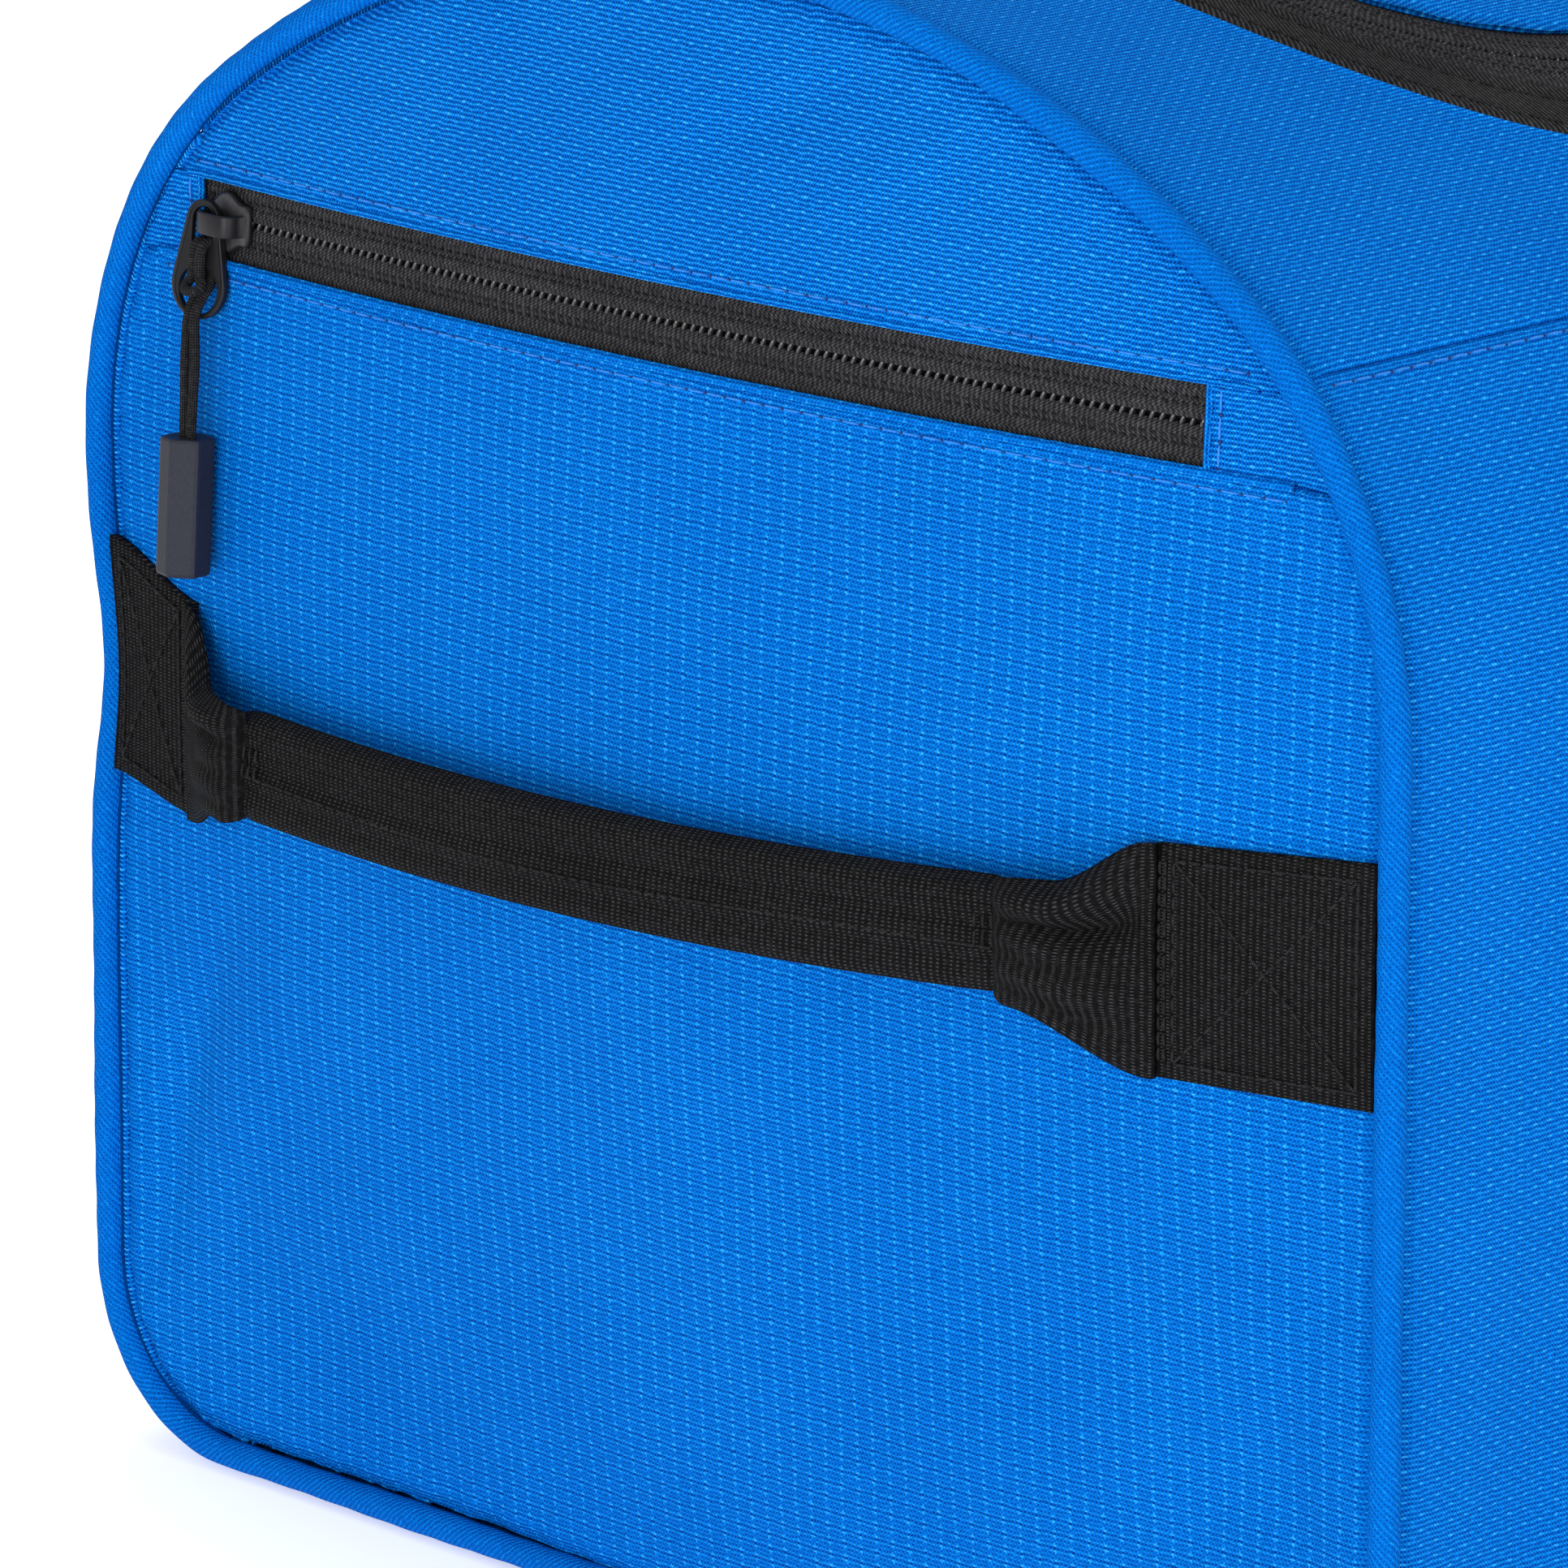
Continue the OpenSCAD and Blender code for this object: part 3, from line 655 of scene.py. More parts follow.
def hitched_line():
    """The cord's middle line as if flat, which hitches it round the puller's web."""
    # Out of the grip, through the ring, up behind the web, over it and across in front, then back mirrored
    line = np.array([
        [-1.2, GRIP_TOP - 5, 0], [-1.15, GRIP_TOP, 0], [-1.35, -36, 0], [-1.75, -29, 0],
        [-1.4, -23.5, 0.1], [-1.15, -20, 0.2], [-1.15, -17.2, -0.6], [-1.15, -15, -2.0], [-1.15, -13.2, -3.4],
        [-1.15, -11.4, -4.2], [-1.15, -8.5, -4.45], [-1.15, -5.8, -4.5], [-1.15, -4.3, -3.6],
        [-1.15, -4.2, -2.0], [-1.15, -5.4, -0.95], [-1.1, -8, -0.8], [-1.1, -10.4, -0.75],
        [-1.5, -11.8, -0.7], [-2.35, -12.7, -0.5], [-2.4, -13.7, 0.3], [-1.3, -14.2, 1.0]])
    line = np.vstack([line, line[::-1] * [-1, 1, 1]])
    for _ in range(3):
        near, after = line[:-1], line[1:]
        inner = np.stack([near * 0.75 + after * 0.25, near * 0.25 + after * 0.75], 1).reshape(-1, 3)
        line = np.vstack([line[:1], inner, line[-1:]])
    line = evenly(line, 0.8)
    line[:, 2] += CORD_Z
    return line


def grip_rings():
    """Rings down the hexagonal grip, which has softened edges and a shallow dish at its top, and their uv."""
    t = np.array([0.012, 0.0, 0.006, 0.025, 0.2, 0.5, 0.8, 0.975, 0.994, 1.0, 1.0])
    scale = np.array([0.50, 0.88, 0.955, 0.99, 0.99, 0.99, 0.99, 0.99, 0.955, 0.88, 0.30])[:, None]
    a = np.linspace(0, TAU, 48, endpoint=False)
    corner = np.cos(np.pi / 6) / np.cos((a % (np.pi / 3)) - np.pi / 6)
    hexagon = GRIP_R * np.minimum(corner, 0.975)
    a = a + 0.2
    y = GRIP_TOP - t[:, None] * GRIP_LONG
    rings = grid(hexagon * scale * np.cos(a), y, CORD_Z + hexagon * scale * np.sin(a))
    return rings, grid(*np.meshgrid(t * GRIP_LONG, a * GRIP_R, indexing="ij"))


def puller_shape():
    """Points and faces of a flat teardrop puller with a slot above and a ring below, and its outline."""
    flare = np.arcsin(2.8 / 13.7)
    outline = np.vstack([
        arc(0, 0.3, 4.1, flare, np.pi - flare, 28), arc(0, -13.4, 6.9, np.pi - flare, TAU + flare, 44)])
    slot = np.vstack([arc(0, 0.3, 2.7, 0, np.pi, 24), arc(0, -3.4, 2.7, np.pi, TAU, 24)])
    hole = arc(0, -14.2, 5.0, 0, TAU, 49)[:-1]
    curve = bpy.data.curves.new("outline", "CURVE")
    curve.dimensions, curve.fill_mode = "2D", "BOTH"
    for loop in (outline, slot, hole):
        spline = curve.splines.new("POLY")
        spline.points.add(len(loop) - 1)
        spline.points.foreach_set("co", np.c_[loop, np.zeros(len(loop)), np.ones(len(loop))].ravel())
        spline.use_cyclic_u = True
    curve.extrude, curve.bevel_depth, curve.bevel_resolution, curve.offset = 0.50, 0.30, 2, -0.30
    holder = bpy.data.objects.new("outline", curve)
    bpy.context.scene.collection.objects.link(holder)
    bpy.context.view_layer.update()
    flat = bpy.data.meshes.new_from_object(holder.evaluated_get(bpy.context.evaluated_depsgraph_get()))
    bpy.data.objects.remove(holder)
    return np.array([v.co for v in flat.vertices]), [list(f.vertices) for f in flat.polygons], outline


def shield_rings(way):
    """Rings of a slider's shield-shaped plate with a rounded edge, closed to a point above and below."""
    shield = np.array([
        [-6.5, -4.2], [-3.4, -4.4], [0.5, -6.6], [3.5, -6], [6.4, -3.4],
        [6.4, 3.4], [3.5, 6], [0.5, 6.6], [-3.4, 4.4], [-6.5, 4.2]])
    for _ in range(2):
        after = np.roll(shield, -1, 0)
        shield = np.stack([shield * 0.8 + after * 0.2, shield * 0.2 + after * 0.8], 1).reshape(-1, 2)
    shield = shield * [way, 1]
    edge = ((0.0, -1.7), (0.96, -1.7), (1.0, -1.4), (1.0, -0.75), (0.97, -0.4), (0.88, -0.2), (0.0, -0.1))
    return np.array([np.c_[shield * s, np.full(len(shield), z)] for s, z in edge])


def pull(prefix, origin, axes, way, bend, bodies):
    """One slider with its puller, cord and grip. way is +1 where the wide end faces local +X."""
    slider_body, puller_body, pull_body = bodies
    bridge = np.array([way * 4.8, 0, 2.2])

    def put(p):
        return origin + np.asarray(p, float) @ axes.T

    def hang(p):
        p = np.array(p, float) + [-way * CORD_SIDE, 0, 0]
        low = p[..., 1] < BEND_Y
        c = np.array([0, BEND_Y, CORD_Z])
        bent = (p - c) @ rot("X", bend).T + c
        return put(np.where(low[..., None], bent, p) + bridge)

    path = hang(hitched_line())
    across, up = frames(path, axes @ np.array([1.0, 0.2, 0.4]))
    cord = sweep(f"{prefix}_pull_loop", path, across, up, ring(CORD_R, 12), "cord", pull_body,
                 [f"{prefix}_pull_cord"])
    rings, uv = grip_rings()
    faces = tube_faces(*rings.shape[:2])
    grip = build(f"{prefix}_pull_grip_body", hang(rings).reshape(-1, 3), faces, "rubber", pull_body,
                 [f"{prefix}_pull_grip"], uv, smooth=False)

    # Puller, with a raised rim round its outline
    flat, faces, outline = puller_shape()
    tilt = rot("X", -TILT) @ rot("Y", TURN * -way)
    build(f"{prefix}_puller_plate", put(flat @ tilt.T + bridge), faces, "metal", puller_body,
          [f"{prefix}_puller"], uv=flat[:, :2], smooth=False)
    rim = np.c_[outline * [0.93, 0.955] + [0, -0.2], np.full(len(outline), 0.72)]
    rim = put(rim @ tilt.T + bridge)
    across, up = frames(rim, axes @ np.array([0, 0, 1.0]), True)
    section = rounded(0.8, 0.5, 0.2, 3)
    sweep(f"{prefix}_puller_rim", rim, across, up, section, "metal", puller_body, closed=True)

    # Slider, with a strap-shaped bridge
    rings = put(shield_rings(way))
    n, m = rings.shape[:2]
    plate = (rings.reshape(-1, 3), quads(n, m, False, True), np.zeros((n * m, 2)))
    arch_x = np.array([-4.8, -4.8, -4.7, -4.1, -2.6, 0, 2.6, 4.1, 4.7, 4.8, 4.8])
    arch_z = np.array([-0.6, 1.8, 3.2, 4.1, 4.5, 4.6, 4.5, 4.1, 3.2, 1.8, -0.6])
    line = put(grid(arch_x, 0 * arch_x, arch_z))
    across = np.broadcast_to(axes @ np.array([0, 1.0, 0]), line.shape)
    t = unit(np.gradient(line, axis=0))
    bridge_part = sweep_points(line, across, np.cross(t, across), rounded(4.6, 1.15, 0.4, 4))
    points, faces, _ = merge([plate, bridge_part])
    build(f"{prefix}_slider_body", points, faces, "metal", slider_body, [f"{prefix}_slider"])


pull("pocket", POCKET_AT, POCKET_AXES, -1, 0, ("pocket_slider", "pocket_puller", "pocket_pull"))
for word, way, x in (("left", 1, -20.0), ("right", -1, 20.0)):
    pull(f"{word}_lid", lid_at(x), LID_AXES, way, 7, (f"{word}_slider", f"{word}_puller", f"{word}_pull"))

# ---------- end walls ----------

RIM = 3.2

# Where the stuffing leaves soft dents and folds: y, z, half length, half width, lean in degrees and depth
DENTS = [
    (154, 92, 26, 7, 115, -2.0), (141, 80, 30, 9, 118, 1.0), (163, 60, 20, 6, 100, -1.3),
    (-25, 318, 34, 6, 155, -1.2), (-55, 312, 26, 5, 150, 0.8), (60, 330, 30, 7, 20, -0.9),
    (150, 240, 22, 8, 95, -1.0), (-160, 60, 24, 7, 75, -1.0)]


def rim_distance(y, z):
    edge = arch(RIM, 500)
    flat = grid(y.ravel(), z.ravel())
    out = np.empty(len(flat))
    for k in range(0, len(flat), 4000):
        out[k:k + 4000] = np.linalg.norm(flat[k:k + 4000, None] - edge[None], axis=-1).min(1)
    return out.reshape(y.shape)


def padded_end(y, z, seed, calm=0.0):
    """Grid points of the cloth of an end wall: tucked in at the rim, puckered by it, and a little uneven."""
    d = rim_distance(y, z)
    around = np.degrees(np.arctan2(z - 170, y)) * 3.1
    tuck = -2.1 * bell(d, 2.3)
    pucker = 0.34 * np.sin(TAU * around / 11 + 2.2 * np.sin(around / 23)) * np.exp(-d / 8) * share(d / 1.5)
    soft = 0.8 * ripple(y, z, seed) * share(d / 30) * (1 - calm)
    for at_y, at_z, long, wide, lean, deep in DENTS:
        c, s = np.cos(np.radians(lean)), np.sin(np.radians(lean))
        a, b = (y - at_y) * c + (z - at_z) * s, (z - at_z) * c - (y - at_y) * s
        soft = soft + deep * np.exp(-((a / long) ** 2) - (b / wide) ** 2) * share(d / 6)
    return pinch(on_end(y, z, tuck + pucker + soft))


def end_panel(name, y, z, seed, look, nodes, far):
    calm = bell(z - ZIP_Z, 26) * (not far)
    p = padded_end(y, z, seed, calm)
    obj = panel(name, p * (FAR if far else 1), 2.9 if far else 1.9, look, "bag", nodes, grid(y, z))


def end_cloth(name, high, seed, look, nodes, far=False):
    """The end wall's cloth from the base up to a cut."""
    k = as_column(0, 1, 170) ** 1.25
    row = edge_heavy(170)[None]
    low = LOW + RIM
    fall = 0.0 if far else np.tan(ZIP_FALL)
    z = low + (high - low) * k + 0 * row
    for _ in range(4):
        y = half_width(z, RIM) * row
        z = low + (high - low) * k + y * fall * k**2
    end_panel(name, y, z, seed, look, nodes, far)


def end_crown(name, low, seed, look, nodes, far=False):
    """The end wall's cloth from a cut up to the top."""
    fall = 0.0 if far else np.tan(ZIP_FALL)
    sides = []
    for sign in (1, -1):
        w = 150.0
        for _ in range(20):
            w = float(half_width(low + sign * w * fall, RIM))
        sides.append(sign * (w - 0.3))
    row = (1 + edge_heavy(170)[None]) / 2
    k = as_column(0, 1, 60)
    y = sides[1] + (sides[0] - sides[1]) * row + 0 * k
    base = low + y * fall
    z = base + (crown(y, RIM) - base) * k
    end_panel(name, y, z, seed, look, nodes, far)


end_cloth("pocket_front", ZIP_Z - GAP, 5, "end", ["pocket_panel"])
end_crown("end_top_cloth", ZIP_Z + GAP, 6, "crown", ["upper_end_panel"])
end_cloth("far_end_lower", 300.0, 7, "crown", ["far_end_panel"], far=True)
end_crown("far_end_upper", 300.0, 7, "crown", (), far=True)

for word, y0, sign in (("left", WINDOW[1], 1), ("right", WINDOW[0], -1)):
    z = as_column(ZIP_Z - GAP, ZIP_Z + GAP, 16)
    reach = half_width(z + sign * 155 * np.tan(ZIP_FALL), RIM) - sign * (ZIP_Z - BULGE_Z) * np.sin(-ZIP_FALL)
    y = y0 + (sign * (reach - 0.4) - y0) * as_row(0, 1, 14)
    z = z + 0 * y
    p = pinch(by_zip(y, z, -0.5 + 0.25 * np.sin(z)))
    panel(f"zip_tab_{word}", p, 1.3, "crown", "bag", ["zip_end_tabs"] if sign > 0 else (), grid(y, z),
          flip=sign < 0)


def folded_edge(name, y, z, look, radius=0.95, off=-0.6):
    """The rounded fold along a cut edge of the end wall."""
    path = pinch(by_zip(y, z, off))
    across, up = frames(path, np.array([-1.0, 0, 0]))
    sweep(name, path, across, up, ring(radius, 10), look, "bag")


ys = np.linspace(-158, 162, 170)
folded_edge("pocket_edge_fold", ys, ZIP_Z - GAP + 0 * ys, "end", 1.1)
ys = np.linspace(-149, 152, 160)
folded_edge("end_top_edge_fold", ys, ZIP_Z + GAP + 0 * ys, "crown")
zs = np.linspace(ZIP_Z - GAP + 0.4, ZIP_Z + GAP - 0.4, 16)
for word, y in (("left", WINDOW[1]), ("right", WINDOW[0])):
    folded_edge(f"zip_tab_fold_{word}", y + 0 * zs, zs, "crown", 0.8, -0.7)

# Pocket zip: two tapes whose folded edges nearly meet, and the coil's teeth glinting between them
for k, (word, sign) in enumerate((("upper", 1), ("lower", -1))):
    y = as_row(WINDOW[0] - 6, WINDOW[1] + 6, 150)
    across = np.array([0.5, 0.55, 0.85, 1.6, 3.2, 3.6, 4.0, 6.0, 9.0, 13.5])[:, None]
    off = np.array([-3.2, -2.5, -2.15, -2.05, -2.05, -2.2, -2.25, -2.25, -2.25, -2.3])[:, None]
    z = ZIP_Z + sign * across + 0 * y
    y2 = y + 0 * z
    p = by_zip(y2, z, off + 0.05 * ripple(y2, z, 31 + k))
    panel(f"pocket_zip_tape_{word}", p, 0.5, "tape", "bag", ["pocket_zip_tapes"] if k == 0 else (),
          grid(y2, z), flip=sign < 0)


def teeth(name, centres, along, out, body, nodes):
    """Glossy bent teeth, one each TOOTH, leaning as a coil does."""
    parts = []
    a, b = np.linspace(0, np.pi, 7), np.linspace(0, TAU, 10, endpoint=False)
    sphere = grid(np.outer(np.sin(a), np.cos(b)), np.outer(np.sin(a), np.sin(b)), np.cos(a)[:, None])
    for c, t, n in zip(centres, along, out):
        across = np.cross(n, t)
        lean = unit(across + 0.35 * t)
        p = c + sphere[..., :1] * t * 0.5 + sphere[..., 1:2] * n * 0.75 + sphere[..., 2:] * lean * 1.25
        parts.append((p.reshape(-1, 3), quads(7, 10, False, True), np.zeros((70, 2))))
    points, faces, _ = merge(parts)
    build(name, points, faces, "coil", body, nodes)


y = np.arange(WINDOW[0] - 2, WINDOW[1] + 2, TOOTH)
c = by_zip(y, ZIP_Z + 0 * y, -2.6)
n = unit(c - [BULGE_X, 0, BULGE_Z])
teeth("pocket_zip_teeth", c, unit(np.gradient(c, axis=0)), n, "bag", ["pocket_zip_chain"])
ys = np.linspace(WINDOW[0] + 1, WINDOW[1] - 1, 80)
dots = [by_zip(ys, ZIP_Z + d + 0 * ys, -2.05) for d in (-4.6, -3.2, 3.2, 4.6)]
stitches("pocket_zip_stitches", dots, end_out, "thread", "bag", pitch=TOOTH, fill=0.5, radius=0.34)

# Lining behind the pocket
k = as_column(0, 1, 50)
y = (float(half_width(60.0, RIM)) - 0.5) * edge_heavy(80)[None]
past_corner = np.abs(y) - WIDE + RB
corner_z = LOW + RB - np.sqrt(np.maximum((RB - LOW - RIM) ** 2 - past_corner**2, 0))
z0 = np.where(past_corner > 0, corner_z, LOW + RIM)
z = z0 + (crown(y, RIM) - z0) * k
y = y + 0 * z
p = pinch(on_end(y, z, -5.3 - 0.3 * (1 + ripple(y, z, 8))))
obj = panel("pocket_back_lining", p, 0.9, "lining", "bag", ["pocket_lining"], grid(y, z))
edge = arch(RIM, 900)

# ---------- piping ----------


def piping(name, nodes, far):
    loop = arch(0.0, 1000)
    path = np.c_[np.full(len(loop), -HALF), loop]
    across, up = frames(path, np.array([-1.0, 0, 0]), True)
    a = np.linspace(0, TAU, 20, endpoint=False)
    along = np.arange(len(path))[:, None]
    r = PIPE * (1 + 0.018 * np.sin(TAU * along / 9 + 3 * np.sin(along / 31)) + 0 * a[None])
    r = r + 0.12 * np.sin(along / 57.0 * TAU)
    section = grid(r * np.cos(a), r * np.sin(a))
    p = pinch(path)
    points, faces, uv = sweep_points(p, across, up, section, True)
    bias = grid(uv[:, 0] + uv[:, 1], uv[:, 1] - uv[:, 0]) * 0.7071
    build(name, points * (FAR if far else 1), faces, "piping", "bag", nodes, bias)


piping("end_piping_cloth", ["end_piping"], False)
piping("far_piping_cloth", ["far_end_piping"], True)

# ---------- barrel ----------


def cloth_wave(x, s, seed):
    near_end = share((HALF - np.abs(x)) / 25)
    return 0.9 * ripple(x, s, seed) * near_end


def side_cloth(name, sign, node, seed):
    x = TUCKED * edge_heavy(170)[:, None]
    s = S_SEAM + (S_CORNER - S_SEAM) * as_row(0, 1, 120) ** 1.5
    fade = share((s - S_SEAM) / 12) * share((S_CORNER - s) / 60)
    hug = -1.5 * bell(WALL_END - np.abs(x), 3.2) - 0.8 * bell(s - S_SEAM, 1.1)
    # Held flat where the carry handles are sewn on
    held = np.exp(-(((np.abs(x) - 110.0) / 40) ** 4)) * np.exp(-(((s - S_SHOULDER - 20) / 85) ** 4))
    off = np.minimum(cloth_wave(x, s, seed) * fade * (1 - 0.9 * held), 1.2) + hug
    x2, s2 = np.broadcast_arrays(x, s)
    p = pinch(on_barrel(x2, sign * s2, off))
    obj = panel(name, p, 2.9, "barrel", "bag", [node], grid(x2, s2), flip=sign < 0)


side_cloth("front_side_cloth", -1, "front_side_panel", 11)
side_cloth("back_side_cloth", 1, "back_side_panel", 12)
x, s = np.linspace(-WALL_END, WALL_END, 90), np.linspace(-(WIDE - RB), WIDE - RB, 60)
x, s = np.meshgrid(x, s, indexing="ij")
p = grid(x, s, 0.15 * np.abs(ripple(x, s, 13)))
obj = panel("base_cloth", p, 2.7, "barrel", "bag", ["base_panel"], grid(x, s), flip=True)


def mouth(inset, back):
    """Plan outline of the lid's opening from back left round the front to back right."""
    r = MOUTH_R - inset
    side_run = as_column(0, 1, 40)
    a = np.array([-(MOUTH_X - inset), back])
    b = np.array([-(MOUTH_X - inset), -(MOUTH_Y - MOUTH_R)])
    left = arc(-(MOUTH_X - MOUTH_R), -(MOUTH_Y - MOUTH_R), r, np.pi, 1.5 * np.pi, 72)
    right = arc(MOUTH_X - MOUTH_R, -(MOUTH_Y - MOUTH_R), r, 1.5 * np.pi, TAU, 72)
    front = np.linspace(0, 1, 70)[1:-1, None]
    return np.vstack([a + (b - a) * side_run[:-1], left, left[-1] + (right[0] - left[-1]) * front, right,
                      (a + (b - a) * side_run[:-1])[::-1] * [-1, 1]])


def laid_flat(plan):
    """A plan of the top with its cloth unrolled."""
    return grid(plan[..., 0], RT * np.arcsin(plan[..., 1] / RT))


def top_point(plan, off=0.0):
    flat = laid_flat(plan)
    return on_barrel(flat[..., 0], flat[..., 1], off)


def ray_loop(loop, centre, angles):
    """Where rays from the centre at those angles cross a closed loop."""
    d = loop - centre
    a = np.unwrap(np.arctan2(d[:, 1], d[:, 0]))
    if a[-1] < a[0]:
        a, d = a[::-1], d[::-1]
    a = np.r_[a - TAU, a, a + TAU]
    d = np.vstack([d, d, d])
    return centre + np.stack([np.interp(angles, a, d[:, i]) for i in (0, 1)], -1)


# Top cloth round the opening, in the plane of the cloth laid flat
back = HINGE_Y + 1.5
hole = laid_flat(mouth(0.4, back))
far_side = np.linspace(hole[-1], hole[0], 120)[1:-1]
hole = np.vstack([hole, far_side])
outer = np.array([[-TUCKED, -S_SEAM], [TUCKED, -S_SEAM], [TUCKED, S_SEAM], [-TUCKED, S_SEAM]])
outer = evenly(np.c_[outer, np.zeros(4)], 4.0, True)[:-1, :2]
centre = np.array([0.0, -6.0])
corners = [np.arctan2(sy * S_SEAM - centre[1], sx * TUCKED) for sx in (1, -1) for sy in (1, -1)]
corners += [np.arctan2(hole[0][1] - centre[1], sx * abs(hole[0][0])) for sx in (1, -1)]
angles = np.unique(np.round(np.r_[np.linspace(-np.pi, np.pi, 420, endpoint=False), corners], 6))
inner_line, outer_line = ray_loop(hole, centre, angles), ray_loop(outer, centre, angles)
k = 1 - (1 - np.linspace(0, 1, 40)[None, :, None]) ** 1.7
flat = inner_line[:, None] + (outer_line - inner_line)[:, None] * k
from_mouth = np.linalg.norm(flat - inner_line[:, None], axis=-1)
edge_s = S_SEAM - np.abs(flat[..., 1])
edge_x = WALL_END - np.abs(flat[..., 0])
off = np.minimum(0.8 * ripple(flat[..., 0], flat[..., 1], 14) * share(edge_x / 25), 0.9)
off = off * share(from_mouth / 18) * share(edge_s / 12)
off = off - 1.5 * bell(edge_x, 3.2) - 0.5 * bell(edge_s, 1.0)
p = on_barrel(flat[..., 0], flat[..., 1], off)
yokes = ["front_yoke", "back_yoke", "end_yokes"]
obj = panel("top_cloth", p, 2.9, "barrel", "bag", yokes, flat, flip=True, loop=True)

# ---------- lid's zip and lid ----------


def mouth_band(name, section, back, look, body, nodes):
    """A band carried round the opening. section is (inset, height) pairs in order round its outline."""
    rows = [top_point(mouth(d, back), h) for d, h in section]
    p = np.stack(rows, 1)
    n, m = p.shape[:2]
    faces = [f[::-1] for f in tube_faces(n, m)]
    uv = grid(*np.meshgrid(run(p[:, 0]), [d for d, _ in section], indexing="ij"))
    return build(name, p.reshape(-1, 3), faces, look, body, nodes, uv.reshape(-1, 2))


mouth_band("opening_binding", [
    (-0.2, -0.6), (0.0, 0.3), (0.8, 0.75), (2.5, 0.9), (6, 0.95), (9.5, 0.9), (10.6, 1.25), (11.6, 1.5),
    (12.5, 1.2), (12.9, 0.3), (12.7, -1.6), (12.2, -2.9), (0.2, -2.9)],
    back, "binding", "bag", ["mouth_binding"])
mouth_band("opening_zip_tape", [
    (12.3, -2.0), (16, -1.95), (20, -1.95), (21.2, -1.8), (24.9, -1.7), (25.45, -1.9), (25.5, -2.6),
    (25.2, -2.8), (12.3, -2.8)],
    back, "tape", "bag", ["mouth_zip_tape"])
mouth_band("lid_tape", [
    (26.5, -2.6), (26.55, -1.9), (27.1, -1.7), (30.8, -1.8), (34.6, -1.95), (34.6, -2.8), (26.8, -2.8)],
    HINGE_Y - 1.5, "tape", "lid", ["lid_zip_tape"])
path = top_point(mouth(26.0, HINGE_Y - 6), -2.75)
path = evenly(path, TOOTH)
out = unit(np.c_[0 * path[:, 0], path[:, 1], path[:, 2] - ZC])
along = unit(np.gradient(path, axis=0))
shift = np.cross(out, along) * 0.25
teeth("opening_zip_teeth", (path - shift)[::2], along[::2], out[::2], "bag", ["mouth_zip_coil"])
teeth("lid_zip_teeth", (path + shift)[1::2], along[1::2], out[1::2], "lid", ["lid_zip_coil"])

front = laid_flat(mouth(LID_INSET, HINGE_Y - 1.5))
edge = np.vstack([front, np.linspace(front[-1], front[0], 100)[1:-1]])
centre = np.array([0.0, 0.0])
corners = [np.arctan2(front[0][1], sx * abs(front[0][0])) for sx in (1, -1)]
angles = np.unique(np.round(np.r_[np.linspace(-np.pi, np.pi, 360, endpoint=False), corners], 6))
edge = ray_loop(edge, centre, angles)
k = np.linspace(0.015, 1, 48)[None, :, None] ** 0.9
flat = centre + (edge - centre)[:, None] * k
inside = np.linalg.norm(flat - edge[:, None], axis=-1)
uneven = np.minimum(0.9 * ripple(flat[..., 0], flat[..., 1], 15), 1.0)
off = 1.3 * share(inside / 60) + uneven * share(inside / 25)
off = off - 0.9 * bell(inside, 1.6) + 0.25 * np.sin(angles * 46)[:, None] * bell(inside, 6)
p = on_barrel(flat[..., 0], flat[..., 1], off)
obj = panel("lid_cloth", p, 2.6, "barrel", "lid", ["lid_panel"], flat, flip=True, loop=True)
ring_p = p[:, 0]
middle = np.vstack([ring_p, ring_p - [0, 0, 2.6]])
n = len(ring_p)
build("lid_middle", middle, [list(range(n)), list(range(n, 2 * n))[::-1]], "barrel", "lid",
      uv=np.vstack([flat[:, 0]] * 2))

# Cloth hinge along the back edge
reach = MOUTH_X - LID_INSET
x = as_column(-reach, reach, 80)
y = as_row(HINGE_Y - 7, HINGE_Y + 9, 22)
plan = np.stack(np.broadcast_arrays(x, y), -1)
p = top_point(plan, 0.35 + 0.5 * bell(y - HINGE_Y, 3.0))
panel("lid_hinge_cloth", p, 0.8, "barrel", "bag", ["lid_hinge_binding"], plan, flip=False,
      blend=("lid", (0, (HINGE_Y + 3) * MM, 0.3172), (0, (HINGE_Y - 3) * MM, 0.3184)))

# ---------- end handles ----------

ANCHOR_Z, ANCHOR_END, FOLD_HALF, SHIFT, STAND = 171.0, 179.6, 113.0, 10.0, 16.5
BOW, SAG, STRAP_FALL, STRAP_DROP = 8.0, 2.3, 2.3, 4.5
SPAN = np.hypot(BOW, SAG)
STRAP_R = (FOLD_HALF**2 + SPAN**2) / (2 * SPAN)


def strap_line(t):
    """Centre of the folded middle at t from -1 to 1 along Y."""
    y = t * FOLD_HALF
    rise = np.sqrt(STRAP_R**2 - y**2) - (STRAP_R - SPAN)
    p = grid(-HALF - STAND - rise * BOW / SPAN, y, -rise * SAG / SPAN)
    return p @ rot("X", -STRAP_FALL).T + [0, SHIFT, ANCHOR_Z - STRAP_DROP]


def crossed_box(u0, u1, v0, v1, count):
    """Lines of a box and its cross, the fourth line being the one at u0."""
    a, b, c, d = np.array([(u0, v0), (u1, v0), (u1, v1), (u0, v1)], float)
    t = as_column(0, 1, count)
    return [p + (q - p) * t for p, q in ((a, b), (b, c), (c, d), (d, a), (a, c), (d, b))]


def box_stitch(y0, y1, half, off):
    """Stitch lines of a sewn box and its cross on an anchor, the fourth being the one at y0."""
    lines = crossed_box(y0, y1, -half, half, 12)
    return [pinch(on_end(q[:, 0], anchor_z(q[:, 0], q[:, 1]), off)) for q in lines]


